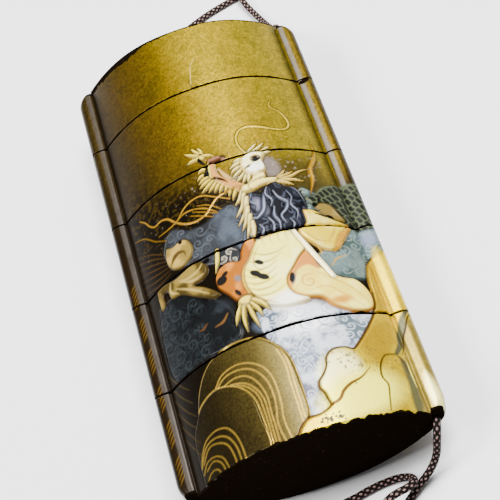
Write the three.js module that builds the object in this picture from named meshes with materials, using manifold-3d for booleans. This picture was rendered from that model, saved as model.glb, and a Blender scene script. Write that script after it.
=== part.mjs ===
// A four-case inro lying on its back: a lid and four nesting cases, strung on one silk cord.
// Millimetres. X is the width, +Y is toward the lid, +Z is out of the front. The origin is on the
// surface that the back rests on, under the middle of the stack.

import * as THREE from 'three';
import { mergeVertices } from 'three/addons/utils/BufferGeometryUtils.js';
import Module from 'manifold-3d';

const wasm = await Module();
wasm.setup();

// Outer form
const BODY_WIDTH = 41.5; // between the grooves beside the runners
const THICKNESS = 23; // front to back at the middle
const EDGE_THICKNESS = 5.4; // of the lens where it meets a runner
const FULLNESS = 2.4; // power of the curve of the front and the back
const DOME = 2.4; // rise of the lid's top and of the bottom case's underside
const FLAT_SPOT = 0.3; // depth of the flat on the back that it lies on

// The stack, from the lid down
const LID_HEIGHT = 16.7;
const CASE_HEIGHT = 19.6; // from seam to seam
const CASE_EXTRAS = [0, -0.6, -0.2, 0.9]; // what each case differs by
const SEAM = 0.3; // open joint between two sections

// Runners, the side columns that the cord passes through
const RUNNER_WIDTH = 3.25; // beyond its groove
const RUNNER_THICKNESS = 6.2;
const RUNNER_EDGE_RADIUS = 1.6;
const RUNNER_STEP = 0.4; // run-out of the groove's outer side
const RUNNER_ROOT = 1.5; // how far a runner reaches into the lens
const RUNNER_DROP = 0.8; // how far a runner ends short of the rims
const END_CORNER = [1.8, 2.8]; // rounding of the runners' outer ends, across and along
const CHANNEL_RADIUS = 1.2;
const CHANNEL_OFFSET = 0.75; // of a channel's axis beyond the groove

// Walls and nesting
const WALL = 1.4; // outside wall round the socket that takes the riser below
const RISER_CLEARANCE = 0.3;
const RISER_WALL = 1.0;
const RISER_HEIGHT = 4.5;
const SOCKET_SPARE = 0.5; // room over the riser's lip
const CHANNEL_WALL = 1.8; // between the socket and a cord channel
const FLOOR = 1.4;
const TOP_WALL = 1.6;

// Raised lacquer of the front, drawn on a field of this size and stretched to fit the real front
const PICTURE = [48, 95.2];
const LOW = 0.35;
const MIDDLE = 0.6;
const HIGH = 0.9;

// Cord
const CORD = 1.4;
const STEP_DIAMETERS = 2.6; // length of one step of a cord's tube
const GAP = 0.3; // between pieces that meet

// Fineness of the faceted curves
const LENS_FACETS = 18; // across the front, and as many across the back
const CORD_SIDES = 8;
const DOME_RINGS = 4;
const BORE_SIDES = 12;
const CURVE_SIDES = 5;

// Derived
const CASE_HEIGHTS = CASE_EXTRAS.map((extra) => CASE_HEIGHT + extra);
const HEIGHT = LID_HEIGHT + CASE_HEIGHTS.reduce((sum, h) => sum + h, 0);
const MID_Z = THICKNESS / 2 - FLAT_SPOT;
const BODY_HALF = BODY_WIDTH / 2;
const WIDTH = BODY_WIDTH + 2 * RUNNER_WIDTH;
const CHANNEL_X = BODY_HALF + CHANNEL_OFFSET;
const SOCKET_HALF = CHANNEL_X - CHANNEL_RADIUS - CHANNEL_WALL;
const SOCKET_DEPTH = RISER_HEIGHT + SOCKET_SPARE;
const RISER_INSET = WALL + RISER_CLEARANCE;
const CAVITY_INSET = RISER_INSET + RISER_WALL;
const TOP_Y = HEIGHT / 2;
const RUNNER_END = TOP_Y - RUNNER_DROP;

const GOLD = new THREE.MeshStandardMaterial({ color: 0xb08a35, roughness: 0.35, metalness: 0.6 });
const DARK = new THREE.MeshStandardMaterial({ color: 0x2b2a26, roughness: 0.3, metalness: 0.2 });
const SILK = new THREE.MeshStandardMaterial({ color: 0x3a2c28, roughness: 0.85, metalness: 0 });

// A closed geometry as a solid that can be joined and cut.
function solid(geometry) {
  const bare = geometry.index ? geometry.clone() : geometry;
  bare.deleteAttribute('normal');
  bare.deleteAttribute('uv');
  const merged = mergeVertices(bare, 1e-5);
  const corners = merged.index.array;
  const kept = [];
  for (let i = 0; i < corners.length; i += 3) {
    const [a, b, c] = [corners[i], corners[i + 1], corners[i + 2]];
    if (a !== b && b !== c && c !== a) {
      kept.push(a, b, c);
    }
  }
  return new wasm.Manifold(new wasm.Mesh({
    numProp: 3,
    vertProperties: new Float32Array(merged.attributes.position.array),
    triVerts: new Uint32Array(kept),
  }));
}

// A solid as a geometry again.
function geometryOf(body) {
  const mesh = body.getMesh();
  const geometry = new THREE.BufferGeometry();
  const places = [];
  for (let i = 0; i < mesh.vertProperties.length; i += mesh.numProp) {
    places.push(mesh.vertProperties[i], mesh.vertProperties[i + 1], mesh.vertProperties[i + 2]);
  }
  geometry.setAttribute('position', new THREE.Float32BufferAttribute(places, 3));
  geometry.setIndex(Array.from(mesh.triVerts));
  return geometry;
}

function joined(solids) {
  return solids.reduce((whole, next) => whole.add(next));
}

// Half the lens's thickness at x, measured along the wall's own normal from inset inside the surface.
function lensDepth(x, inset) {
  const share = Math.min(Math.abs(x) / BODY_HALF, 1);
  const rise = (THICKNESS - EDGE_THICKNESS) / 2;
  const slope = rise * FULLNESS * share ** (FULLNESS - 1) / BODY_HALF;
  return EDGE_THICKNESS / 2 + rise * (1 - share ** FULLNESS) - inset * Math.hypot(1, slope);
}

// The lens's outline seen along the stack: across the front from -X to +X, then back.
function lensOutline(half, inset) {
  const points = [];
  for (let i = 0; i <= LENS_FACETS; i += 1) {
    const x = -half * Math.cos(Math.PI * i / LENS_FACETS);
    points.push([x, lensDepth(x, inset)]);
  }
  return [...points, ...points.map(([x, z]) => [-x, -z])];
}

// A body with the lens's outline. The profile gives shares of the outline and heights along Y.
function lensBody(half, inset, profile) {
  const outline = lensOutline(half, inset);
  const count = outline.length;
  const geometry = new THREE.LatheGeometry(profile.map(([r, y]) => new THREE.Vector2(r, y)), count);
  const place = geometry.attributes.position;
  for (let i = 0; i < place.count; i += 1) {
    const [share] = profile[i % profile.length];
    const [x, z] = outline[Math.floor(i / profile.length) % count];
    place.setXYZ(i, x * share, place.getY(i), MID_Z + z * share);
  }
  return solid(geometry);
}

function lensPrism(half, inset, low, high) {
  return lensBody(half, inset, [[0, low], [1, low], [1, high], [0, high]]);
}

// Heights of a shallow dome over the share of the outline from the rim in to the middle.
function domeProfile(rim, rise) {
  const rings = [];
  for (let i = 0; i < DOME_RINGS; i += 1) {
    const share = 1 - i / DOME_RINGS;
    rings.push([share, rim + rise * (1 - share ** 2)]);
  }
  return [...rings, [0, rim + rise]];
}

// The lens of one section, with its domed end where it has one.
function lensSection(low, high, domeBelow, domeAbove) {
  const below = domeBelow ? domeProfile(low, -DOME).reverse() : [[0, low], [1, low]];
  const above = domeAbove ? domeProfile(high, DOME) : [[1, high], [0, high]];
  return lensBody(BODY_HALF, 0, [...below, ...above]);
}

// One runner's outline seen along the stack, on the side that sign gives.
function runnerShape(sign) {
  const half = RUNNER_THICKNESS / 2;
  const edge = EDGE_THICKNESS / 2;
  const r = RUNNER_EDGE_RADIUS;
  const x = WIDTH / 2 - r;
  const side = [[BODY_HALF - RUNNER_ROOT, edge - RUNNER_STEP], [BODY_HALF, edge], [BODY_HALF + RUNNER_STEP, half]];
  for (let i = 0; i <= CURVE_SIDES; i += 1) {
    const turn = Math.PI / 2 * (1 - i / CURVE_SIDES);
    side.push([x + r * Math.cos(turn), half - r + r * Math.sin(turn)]);
  }
  const mirrored = side.map(([a, b]) => [a, -b]).reverse();
  return new THREE.Shape([...side, ...mirrored].map(([a, b]) => new THREE.Vector2(sign * a, b)));
}

// A shape drawn in X and Z carried along the stack.
function along(shape, low, high) {
  const geometry = new THREE.ExtrudeGeometry(shape, { depth: high - low, bevelEnabled: false });
  geometry.rotateX(Math.PI / 2);
  geometry.scale(1, 1, -1);
  geometry.translate(0, high, MID_Z);
  return solid(flipped(geometry));
}

// The same geometry with its faces turned round, after a mirroring.
function flipped(geometry) {
  const place = geometry.attributes.position.array;
  for (let i = 0; i < place.length; i += 9) {
    for (let k = 0; k < 3; k += 1) {
      [place[i + 3 + k], place[i + 6 + k]] = [place[i + 6 + k], place[i + 3 + k]];
    }
  }
  return geometry;
}

// A thick plate with rounded corners that both runners are cut to.
function runnerPlate() {
  const [across, length] = END_CORNER;
  const x = WIDTH / 2 - across;
  const y = RUNNER_END - length;
  const corners = [];
  for (let quarter = 0; quarter < 4; quarter += 1) {
    const sx = quarter === 0 || quarter === 3 ? 1 : -1;
    const sy = quarter < 2 ? 1 : -1;
    for (let i = 0; i <= CURVE_SIDES; i += 1) {
      const turn = Math.PI / 2 * (quarter + i / CURVE_SIDES);
      corners.push(new THREE.Vector2(sx * x + across * Math.cos(turn), sy * y + length * Math.sin(turn)));
    }
  }
  const plate = new THREE.ExtrudeGeometry(new THREE.Shape(corners), { depth: THICKNESS, bevelEnabled: false });
  plate.translate(0, 0, MID_Z - THICKNESS / 2);
  return solid(plate);
}

// A round hole along the stack for the cord.
function channel(sign) {
  const hole = new THREE.CylinderGeometry(CHANNEL_RADIUS, CHANNEL_RADIUS, HEIGHT + 2 * DOME, BORE_SIDES);
  hole.translate(sign * CHANNEL_X, 0, MID_Z);
  return solid(hole);
}

// Shapes of the raised picture. Lengths are on the picture's own field.

// A smooth band through points, each with its own width.
function band(points, steps = 8) {
  const line = new THREE.CatmullRomCurve3(points.map(([x, y, w]) => new THREE.Vector3(x, y, w / 2)));
  const left = [];
  const right = [];
  for (let i = 0; i <= steps; i += 1) {
    const at = line.getPoint(i / steps);
    const ahead = line.getTangent(i / steps);
    const out = new THREE.Vector2(-ahead.y, ahead.x).normalize().multiplyScalar(at.z);
    left.push(new THREE.Vector2(at.x + out.x, at.y + out.y));
    right.unshift(new THREE.Vector2(at.x - out.x, at.y - out.y));
  }
  return new THREE.Shape([...left, ...right]);
}

// A band that runs from a point, turning by bend as it goes, and tapers to its tip.
function taper(x, y, length, heading, bend, width) {
  const points = [];
  for (let i = 0; i <= 4; i += 1) {
    const share = i / 4;
    const turn = heading + bend * share;
    points.push([x + length * share * Math.cos(turn), y + length * share * Math.sin(turn),
      width * (1 - 0.85 * share)]);
  }
  return band(points, 6);
}

// A fan of tapers round a centre: locks of a mane, flames or claws.
function fan(x, y, count, length, from, to, bend, width, start = 0) {
  return Array.from({ length: count }, (_, i) => {
    const turn = from + (to - from) * i / Math.max(count - 1, 1);
    return taper(x + start * Math.cos(turn), y + start * Math.sin(turn), length, turn, bend, width);
  });
}

function oval(x, y, rx, ry, turn = 0, sides = 16) {
  const points = new THREE.EllipseCurve(x, y, rx, ry, 0, 2 * Math.PI, false, turn).getPoints(sides);
  return new THREE.Shape(points.slice(0, -1));
}

// A rounded wave crest that stands on the line y = foot.
function crest(x, foot, half, rise, lean) {
  const shape = new THREE.Shape();
  shape.moveTo(x - half, foot);
  shape.bezierCurveTo(x - half, foot + rise * 0.75, x + lean - half * 0.6, foot + rise, x + lean, foot + rise);
  shape.bezierCurveTo(x + lean + half * 0.6, foot + rise, x + half, foot + rise * 0.6, x + half, foot);
  return shape;
}

// An outline through corners whose sides swell outward in lumps, as a worn rock's do.
function rock(corners, lumps, swell) {
  const points = [];
  corners.forEach(([x, y], k) => {
    const [nx, ny] = corners[(k + 1) % corners.length];
    const count = lumps[k];
    const sides = Math.max(count * 3, 1);
    for (let i = 0; i < sides; i += 1) {
      const share = i / sides;
      const out = count > 0 ? swell * Math.abs(Math.sin(Math.PI * share * count)) : 0;
      const length = Math.hypot(nx - x, ny - y);
      points.push(new THREE.Vector2(x + (nx - x) * share - (ny - y) / length * out,
        y + (ny - y) * share + (nx - x) / length * out));
    }
  });
  return new THREE.Shape(points);
}

// A five-part paw: palm, toes and hooked claws.
function paw(x, y, size, heading) {
  return [oval(x, y, size, size * 0.8, heading, 12),
    ...fan(x, y, 4, size * 1.9, heading - 0.9, heading + 0.9, 0.5, size * 0.65, size * 0.6)];
}

// The raised figures: a horned dragon among waves and rocks, grouped by how far they stand out.
function figures() {
  const low = [
    crest(-8, -47.6, 10.5, 20.5, 2),
    oval(8.5, -2.8, 5.2, 5.6, 0, 14),
    oval(-9.5, -4.5, 4.2, 3.4, 0.4, 12),
    oval(-12, -19, 6.5, 5, 0.6, 14),
    band([[13.5, 2.5, 1], [16.5, 0, 5], [20, -3, 6], [20.6, -7, 2]]),
    oval(7.2, -36, 4.2, 8.4, 0, 14),
  ];
  const middle = [
    crest(-12.5, -47.6, 7, 14.5, -1),
    rock([[-1, -47.6], [20.4, -47.6], [20.4, -16], [12, -33.5], [8, -34.5], [4.8, -43]], [0, 0, 3, 1, 3, 2], -0.9),
    oval(3, -15.5, 4.8, 7.4, 0.1, 16),
    taper(2.2, 5.5, 7, 2.1, 0.35, 3.2),
    taper(5.5, -17.5, 12.5, -0.4, -0.5, 3.4),
    taper(2, -7.5, 11, -2.5, -0.3, 3.2),
    taper(9.2, 4.8, 7.5, 0.1, 0.35, 2.4),
    ...fan(5.2, 8.6, 7, 5, 1.7, 4.2, 0.5, 1.5, 1.8),
    ...fan(2, -1, 5, 4.4, 3.6, 4.9, 0.5, 1.4, 0.8),
    band([[13.5, -5.5, 0.8], [16, -8, 3.4], [14.5, -12, 2.6], [12.5, -14.5, 0.6]]),
  ];
  const high = [
    band([[6.2, 7.6, 3.4], [3.6, 2.4, 3], [1.6, -4, 3.2], [2.4, -11, 3.8], [4, -18, 3.2], [1.5, -23.5, 0.8]], 14),
    oval(6.6, 8.8, 3.3, 2.4, 0.3, 14),
    band([[8.4, 8.6, 2.6], [10.8, 8, 2], [12, 8.4, 0.9]], 4),
    ...fan(6, 9.8, 2, 5, 1.2, 1.8, -0.5, 0.9, 1.2),
    ...paw(-2.6, 12.8, 1.7, 2.2),
    ...paw(-3.2, -20.6, 1.8, 4.2),
    rock([[9, -41], [17, -40], [17.4, -28.5], [12.5, -33]], [2, 1, 2, 1], -0.5),
    crest(15.8, -47.6, 2.4, 9, 0),
  ];
  return [[LOW, low], [MIDDLE, middle], [HIGH, high]];
}

// The figures as prisms that stand up through the whole front half, with their raised heights.
function figurePrisms() {
  return figures().map(([rise, shapes]) => {
    const prisms = shapes.map((shape) => {
      const prism = new THREE.ExtrudeGeometry(shape, { depth: THICKNESS, bevelEnabled: false, curveSegments: 6 });
      prism.scale(WIDTH / PICTURE[0], HEIGHT / PICTURE[1], 1);
      prism.translate(0, 0, MID_Z);
      return solid(prism);
    });
    return [rise, joined(prisms)];
  });
}

const PLATE = runnerPlate();
const CHANNELS = joined([channel(-1), channel(1)]);
const FLAT = solid(new THREE.BoxGeometry(WIDTH, HEIGHT + 4 * DOME, THICKNESS).translate(0, 0, -THICKNESS / 2));
const PRISMS = figurePrisms();

// The outside of one section between two heights: lens, runners and raised figures, bored for the cord.
function shell(low, high, domeBelow, domeAbove) {
  const runners = [-1, 1].map((sign) => along(runnerShape(sign), low, high));
  const raised = PRISMS.map(([rise, prisms]) => lensPrism(BODY_HALF, -rise, low, high).intersect(prisms));
  return joined([
    lensSection(low, high, domeBelow, domeAbove),
    joined(runners).intersect(PLATE),
    ...raised,
  ]).subtract(CHANNELS).subtract(FLAT);
}

// The recess in a section's underside that takes the riser below it.
function socket(low, depth) {
  return lensPrism(SOCKET_HALF, WALL, low - SEAM, low + depth);
}

function lid(low, high) {
  return shell(low, high, false, true).subtract(socket(low, high - low - TOP_WALL));
}

// A case: its riser stands up into the section above, and the inside runs down to its floor.
function box(low, high, isBottom) {
  const floor = isBottom ? low + FLOOR : low + SOCKET_DEPTH + FLOOR;
  const lip = high + SEAM + RISER_HEIGHT;
  const riserHalf = SOCKET_HALF - RISER_CLEARANCE;
  const riser = lensPrism(riserHalf, RISER_INSET, high - FLOOR, lip);
  const inside = lensPrism(riserHalf - RISER_WALL, CAVITY_INSET, floor, lip + SEAM);
  const walls = shell(low, high, isBottom, false).add(riser).subtract(inside);
  return isBottom ? walls : walls.subtract(socket(low, SOCKET_DEPTH));
}

function named(name, geometry, material) {
  const mesh = new THREE.Mesh(geometry, material);
  mesh.name = name;
  return mesh;
}

// The lid and the cases, from the top down, each with half a seam at each joint.
function stack() {
  const meshes = [named('lid', geometryOf(lid(TOP_Y - LID_HEIGHT + SEAM / 2, TOP_Y)), GOLD)];
  let top = TOP_Y - LID_HEIGHT;
  CASE_HEIGHTS.forEach((height, i) => {
    const isBottom = i === CASE_HEIGHTS.length - 1;
    const low = top - height + (isBottom ? 0 : SEAM / 2);
    const body = box(low, top - SEAM / 2, isBottom);
    meshes.push(named(`case_${i + 1}`, geometryOf(body), i < 2 ? GOLD : DARK));
    top -= height;
  });
  return meshes;
}

// The cord, shown plain. Free stretches lie on the surface that the inro lies on.
const CORD_Z = CORD / 2 + 0.05;
const COIL_CENTRE = [22.4, 82.6];
const COIL_RADIUS = 7; // at the middle of the turns
const COIL_TURNS = [3, 2]; // strands side by side, and layers
const KNOT_CENTRE = [7.2, -59.2, 1.85];
const KNOT_SIZE = [2.5, 2.1, 1.75];
const TAIL_KNOT_RADIUS = 1.25;

const ROUTES = {
  cord_top_left: [
    [-21.5, 47.1, 11.2], [-21.4, 48.9, 10.9], [-20.6, 50.4, 9.8], [-18.6, 51.8, 7.9], [-15.6, 53.6, 5.6],
    [-11.6, 56.6, 3.3], [-6.8, 60.6, 1.6], [-1.6, 64.9, 0.85], [3.5, 68.3, CORD_Z], [8.6, 70.4, CORD_Z],
    [13.2, 71.7, CORD_Z], [18.2, 72.85, CORD_Z],
  ],
  cord_top_right: [
    [21.5, 47.1, 11.2], [21.45, 49.8, 10.6], [21.2, 51.8, 8.9], [20.8, 53.8, 6.5], [20, 58.6, 3.4],
    [19, 62.9, 2], [17.9, 66.7, 1.5], [17.1, 69.2, 1.9], [16.6, 71.9, 2.6], [16.7, 73.9, 2.4],
  ],
  cord_bottom_right: [
    [21.5, -47.1, 11.2], [20.9, -49.2, 10.6], [20.2, -50.4, 9.3], [19.7, -51.4, 7.6], [18.8, -52.2, 5.6],
    [17.5, -52.9, 3.5], [15.9, -53.7, 2], [14.1, -54.5, 1.2], [12.2, -55.6, 0.9], [10.0, -57.1, 1.0],
  ],
  cord_bottom_left: [
    [-21.5, -47.1, 11.2], [-21.5, -50, 10.9], [-21, -52.6, 9.2], [-19, -55.4, 6.2], [-15.4, -58, 3.2],
    [-11, -59.8, 1.4], [-6.4, -60.6, 0.85], [-1.8, -60.7, CORD_Z], [4.1, -60, 1.1],
  ],
  bow_loop_near: [
    [4.3, -58.2, 0.9], [0.6, -57.4, CORD_Z], [-1.6, -55.2, CORD_Z], [-0.4, -53, CORD_Z], [3.3, -51.9, CORD_Z],
    [8.4, -51.1, CORD_Z], [12.2, -50.9, CORD_Z], [14.2, -51.6, 1.7], [14.5, -53, 3.6], [13, -54.5, 4.9],
    [10.6, -55.6, 4.9], [8.4, -56.5, 4.2],
  ],
  bow_loop_far: [
    [10.1, -59.9, 0.9], [13.6, -60.4, CORD_Z], [17.2, -61.4, CORD_Z], [20.2, -63.3, CORD_Z], [20.9, -66.2, CORD_Z],
    [18.6, -68, CORD_Z], [15.3, -67.2, CORD_Z], [12.4, -65, CORD_Z], [9.3, -61.7, 0.9],
  ],
  bow_tail_left: [[4.2, -61.6, 0.9], [0.6, -63, CORD_Z], [-2.7, -65, CORD_Z], [-5, -68, CORD_Z]],
  bow_tail_right: [[7.4, -62.1, 0.9], [8, -65.6, CORD_Z], [7.2, -69, CORD_Z], [5, -71.8, CORD_Z]],
};

// A tube along a hand-laid route.
function cordTube(points) {
  const path = new THREE.CatmullRomCurve3(points.map((p) => new THREE.Vector3(...p)), false, 'centripetal');
  const section = new THREE.Shape();
  section.absarc(0, 0, CORD / 2, 0, 2 * Math.PI, false);
  const steps = Math.max(2, Math.round(path.getLength() / (STEP_DIAMETERS * CORD)));
  return new THREE.ExtrudeGeometry(section, { steps, extrudePath: path, curveSegments: CORD_SIDES / 2 });
}

// The straight stretch of the cord inside a runner.
function cordRun(sign) {
  const run = new THREE.CylinderGeometry(CORD / 2, CORD / 2, 2 * RUNNER_END, CORD_SIDES);
  run.translate(sign * CHANNEL_X, 0, MID_Z);
  return run;
}

// The outer shape of the coil that the spare cord is wound into.
function coil() {
  const half = COIL_TURNS[0] * CORD / 2;
  const tall = COIL_TURNS[1] * CORD + 0.1;
  const cut = CORD / 3;
  const [a, b] = [COIL_RADIUS - half, COIL_RADIUS + half];
  const profile = [[a + cut, 0], [b - cut, 0], [b, cut], [b, tall - cut], [b - cut, tall], [a + cut, tall],
    [a, tall - cut], [a, cut], [a + cut, 0]];
  const ring = new THREE.LatheGeometry(profile.map(([r, y]) => new THREE.Vector2(r, y)), 24);
  ring.rotateX(Math.PI / 2);
  ring.translate(...COIL_CENTRE, 0);
  return ring;
}

function knot(centre, size) {
  const ball = new THREE.SphereGeometry(1, 10, 7);
  ball.scale(...size);
  ball.translate(...centre);
  return ball;
}

// The small knot that ends a tail of the bow, just past the end of its tube.
function tailKnot(route) {
  const [x, y, z] = route[route.length - 1];
  const [px, py] = route[route.length - 2];
  const reach = (TAIL_KNOT_RADIUS + GAP) / Math.hypot(x - px, y - py);
  return knot([x + (x - px) * reach, y + (y - py) * reach, TAIL_KNOT_RADIUS], Array(3).fill(TAIL_KNOT_RADIUS));
}

function cords() {
  const meshes = Object.entries(ROUTES).map(([name, route]) => named(name, cordTube(route), SILK));
  meshes.push(named('cord_in_left_runner', cordRun(-1), SILK));
  meshes.push(named('cord_in_right_runner', cordRun(1), SILK));
  meshes.push(named('cord_coil', coil(), SILK));
  meshes.push(named('bow_knot', knot(KNOT_CENTRE, KNOT_SIZE), SILK));
  meshes.push(named('tail_knot_left', tailKnot(ROUTES.bow_tail_left), SILK));
  meshes.push(named('tail_knot_right', tailKnot(ROUTES.bow_tail_right), SILK));
  return meshes;
}

const group = new THREE.Group();
group.add(...stack(), ...cords());

export default group;
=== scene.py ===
# %% [markdown]
# # A lacquered inro
# An inro is a stack of small boxes that slide into one another, hung from a sash by a silk cord.
# This lesson dresses its solids: a flat box with a lens-shaped section, a lid and four nesting
# cases, two hollow runners at the sides, a raised lacquer picture on the front, and a braided cord.
# The solids come first, because every surface here is laid over one of them.

import bpy
import numpy as np
from mathutils import Matrix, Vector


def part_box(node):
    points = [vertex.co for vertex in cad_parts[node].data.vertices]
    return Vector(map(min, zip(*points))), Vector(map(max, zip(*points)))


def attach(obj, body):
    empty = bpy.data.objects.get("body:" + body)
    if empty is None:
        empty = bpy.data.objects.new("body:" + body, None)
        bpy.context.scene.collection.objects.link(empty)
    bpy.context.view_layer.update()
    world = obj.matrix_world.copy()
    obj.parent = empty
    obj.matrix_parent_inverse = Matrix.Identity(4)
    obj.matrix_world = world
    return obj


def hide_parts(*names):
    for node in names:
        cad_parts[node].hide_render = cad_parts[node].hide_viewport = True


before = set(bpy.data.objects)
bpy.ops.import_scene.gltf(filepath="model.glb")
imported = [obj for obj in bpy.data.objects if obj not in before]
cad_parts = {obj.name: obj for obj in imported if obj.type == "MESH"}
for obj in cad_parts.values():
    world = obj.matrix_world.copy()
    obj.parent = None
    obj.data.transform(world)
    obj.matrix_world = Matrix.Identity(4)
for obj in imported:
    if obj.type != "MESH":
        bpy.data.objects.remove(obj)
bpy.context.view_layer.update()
MM = 0.001
print("nodes:", sorted(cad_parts))

# %% [markdown]
# ## Sizes
# The section's curve, the runners and the walls are the real object's own sizes, in millimetres.
# Where each section begins and ends is read from its solid, so the looks can't drift from it.

# %% Sizes
BODY_HALF = 20.75  # half the width between the grooves
THICKNESS = 23.0
EDGE_HALF = 2.7  # half the lens's thickness at a groove
FULLNESS = 2.4
DOME = 2.4
FLAT_SPOT = 0.3
MID_Z = THICKNESS / 2 - FLAT_SPOT
OUTER_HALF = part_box("case_2")[1][0] / MM
RUNNER_HALF = 3.1
RUNNER_EDGE = 1.6
RUNNER_DROP = 0.8  # a runner ends this far short of the rim
CORNER = (1.8, 2.8)  # rounding of a runner's outer end, across and along
CHANNEL_X = 21.5
CHANNEL_R = 1.2
WALL = 1.4
RISER_INSET = 1.7
CAVITY_INSET = 2.7
SOCKET_HALF = 18.5
RISER_HALF = 18.2
CAVITY_HALF = 17.2
RISER_TALL = 4.5
SOCKET_DEEP = 5.0
FLOOR = 1.4
TOP_WALL = 1.6
SEAM = 0.3

SECTIONS = ["lid", "case_1", "case_2", "case_3", "case_4"]


def section_heights():
    """Lowest and highest outside height of each section along Y: a case's solid also holds its riser."""
    heights = {}
    for name in SECTIONS:
        low, high = (corner[1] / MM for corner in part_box(name))
        if name == "lid":
            high -= DOME
        else:
            high -= RISER_TALL + SEAM
        if name == "case_4":
            low += DOME
        heights[name] = (low, high)
    return heights


HEIGHTS = section_heights()
RIM = HEIGHTS["lid"][1]
RUNNER_END = RIM - RUNNER_DROP
print("rim to rim", round(2 * RIM, 2), "mm;", {k: np.round(v, 2).tolist() for k, v in HEIGHTS.items()})

# %% [markdown]
# ## The camera
# The picture is taken from above the box's lower end, a little turned, so the camera is placed by
# its three angles and its distance. It comes before everything else because the cord is laid in
# the view that it gives.

# %% The camera
CAMERA_AT = (6.182, -126.764, 199.159)
CAMERA_TILT, CAMERA_TURN, CAMERA_ROLL = np.radians((33.524, 1.410, -19.469))
LENS_MM = 85.07


def place_camera():
    """A camera tilted about X, then turned about Y and rolled about its own axis."""
    data = bpy.data.cameras.new("camera")
    data.lens = LENS_MM
    data.sensor_width = 36
    data.clip_start = 0.01
    camera = bpy.data.objects.new("camera", data)
    bpy.context.scene.collection.objects.link(camera)
    turn = (Matrix.Rotation(CAMERA_TILT, 4, "X") @ Matrix.Rotation(CAMERA_TURN, 4, "Y")
            @ Matrix.Rotation(CAMERA_ROLL, 4, "Z"))
    camera.matrix_world = Matrix.Translation([v * MM for v in CAMERA_AT]) @ turn
    bpy.context.scene.camera = camera
    return camera


place_camera()
print("camera", round(float(np.linalg.norm(CAMERA_AT))), "mm from the origin")

# %% [markdown]
# ## Making meshes from arrays
# Every new surface below is a grid of points worked out with numpy, and one function turns such a
# grid into a mesh. Rings close on themselves in one direction, and a pole closes each end.

# %% Grids into meshes


def grid_faces(rows, around):
    """Quads between neighbouring rings: ring r, place k, to ring r + 1, place k + 1, closed around."""
    r, k = np.meshgrid(np.arange(rows - 1), np.arange(around), indexing="ij")
    after = (k + 1) % around
    return np.stack([r * around + k, r * around + after, (r + 1) * around + after, (r + 1) * around + k],
                    -1)


def new_mesh(name, points, quads, triangles=()):
    """A mesh object from points in millimetres, quads and triangles, with every face smooth."""
    mesh = bpy.data.meshes.new(name)
    quads = np.asarray(quads, dtype=np.int32).reshape(-1, 4)
    triangles = np.asarray(triangles, dtype=np.int32).reshape(-1, 3)
    mesh.vertices.add(len(points))
    mesh.vertices.foreach_set("co", (np.asarray(points) * MM).astype(np.float32).ravel())
    corners = np.concatenate([quads.ravel(), triangles.ravel()])
    starts = np.concatenate([np.arange(len(quads)) * 4, len(quads) * 4 + np.arange(len(triangles)) * 3])
    mesh.loops.add(len(corners))
    mesh.loops.foreach_set("vertex_index", corners.astype(np.int32))
    mesh.polygons.add(len(starts))
    mesh.polygons.foreach_set("loop_start", starts.astype(np.int32))
    mesh.polygons.foreach_set("use_smooth", np.ones(len(starts), dtype=bool))
    mesh.update(calc_edges=True)
    mesh.validate()
    piece = bpy.data.objects.new(name, mesh)
    bpy.context.scene.collection.objects.link(piece)
    return piece


def capped(name, rings):
    """A closed mesh from rings of points: quads between the rings and a fan to a pole at each end."""
    rows, around = rings.shape[:2]
    points = np.concatenate([rings.reshape(-1, 3), rings[0].mean(0)[None], rings[-1].mean(0)[None]])
    k = np.arange(around)
    after = (k + 1) % around
    first = np.stack([after, k, np.full(around, rows * around)], -1)
    last_row = (rows - 1) * around
    last = np.stack([last_row + k, last_row + after, np.full(around, rows * around + 1)], -1)
    return new_mesh(name, points, grid_faces(rows, around), np.concatenate([first, last]))


def add_attribute(piece, name, values, kind="FLOAT"):
    """Stores one value, or one colour, for each point of the mesh."""
    layer = piece.data.attributes.new(name, kind, "POINT")
    key = "value" if kind == "FLOAT" else "color"
    layer.data.foreach_set(key, np.asarray(values, dtype=np.float32).ravel())


# %% [markdown]
# ## The cord's route
# The cord is a soft thing of fixed length, so its facts come first: 1.4 mm of braided silk, limp.
# It leaves each runner's mouth, droops to the table, and lies on it. The two strands at the top
# cross and run into a small coil that holds the spare length. At the bottom they end in a bow. The
# points are listed and repeat the solids' route. A smooth curve is carried through them, and
# the coil's turns are worked out.

# %% The cord's route
CORD = 1.4
LIE = CORD / 2 + 0.05  # height of the centre line on the table
TOP_LEFT = [
    (-21.5, 47.1, 11.2), (-21.4, 48.6, 10.95), (-20.6, 50.3, 9.85), (-18.6, 51.8, 7.9), (-15.6, 53.6, 5.6),
    (-11.6, 56.6, 3.3), (-6.8, 60.6, 1.6), (-1.6, 64.9, 0.85), (3.5, 68.3, LIE), (8.6, 70.4, LIE),
    (13.2, 71.7, LIE), (18.2, 72.85, LIE)]
TOP_RIGHT = [
    (21.5, 47.1, 11.2), (21.45, 49.4, 10.7), (21.2, 51.7, 8.95), (20.8, 53.8, 6.5), (20, 58.6, 3.4),
    (19, 62.9, 2), (17.9, 66.7, 1.5), (17.1, 69.2, 1.9), (16.6, 71.9, 2.6), (16.7, 73.9, 2.4)]
BOTTOM_RIGHT = [
    (21.5, -47.1, 11.2), (21.2, -48.3, 10.9), (20.7, -49.4, 10.0), (20.3, -50.2, 8.6), (20.0, -50.7, 7.0),
    (19.5, -51.2, 5.4), (18.6, -51.9, 3.9), (17.2, -52.7, 2.6), (15.6, -53.5, 1.7), (14.0, -54.5, 1.2),
    (12.2, -55.8, 0.9), (10.0, -57.2, 1.0)]
BOTTOM_LEFT = [
    (-21.5, -47.1, 11.2), (-21.5, -49.6, 10.95), (-21, -52.6, 9.2), (-19, -55.4, 6.2), (-15.4, -58, 3.2),
    (-11, -59.8, 1.4), (-6.4, -60.6, 0.85), (-1.8, -60.7, LIE), (3.6, -60.1, 1.1)]
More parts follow.
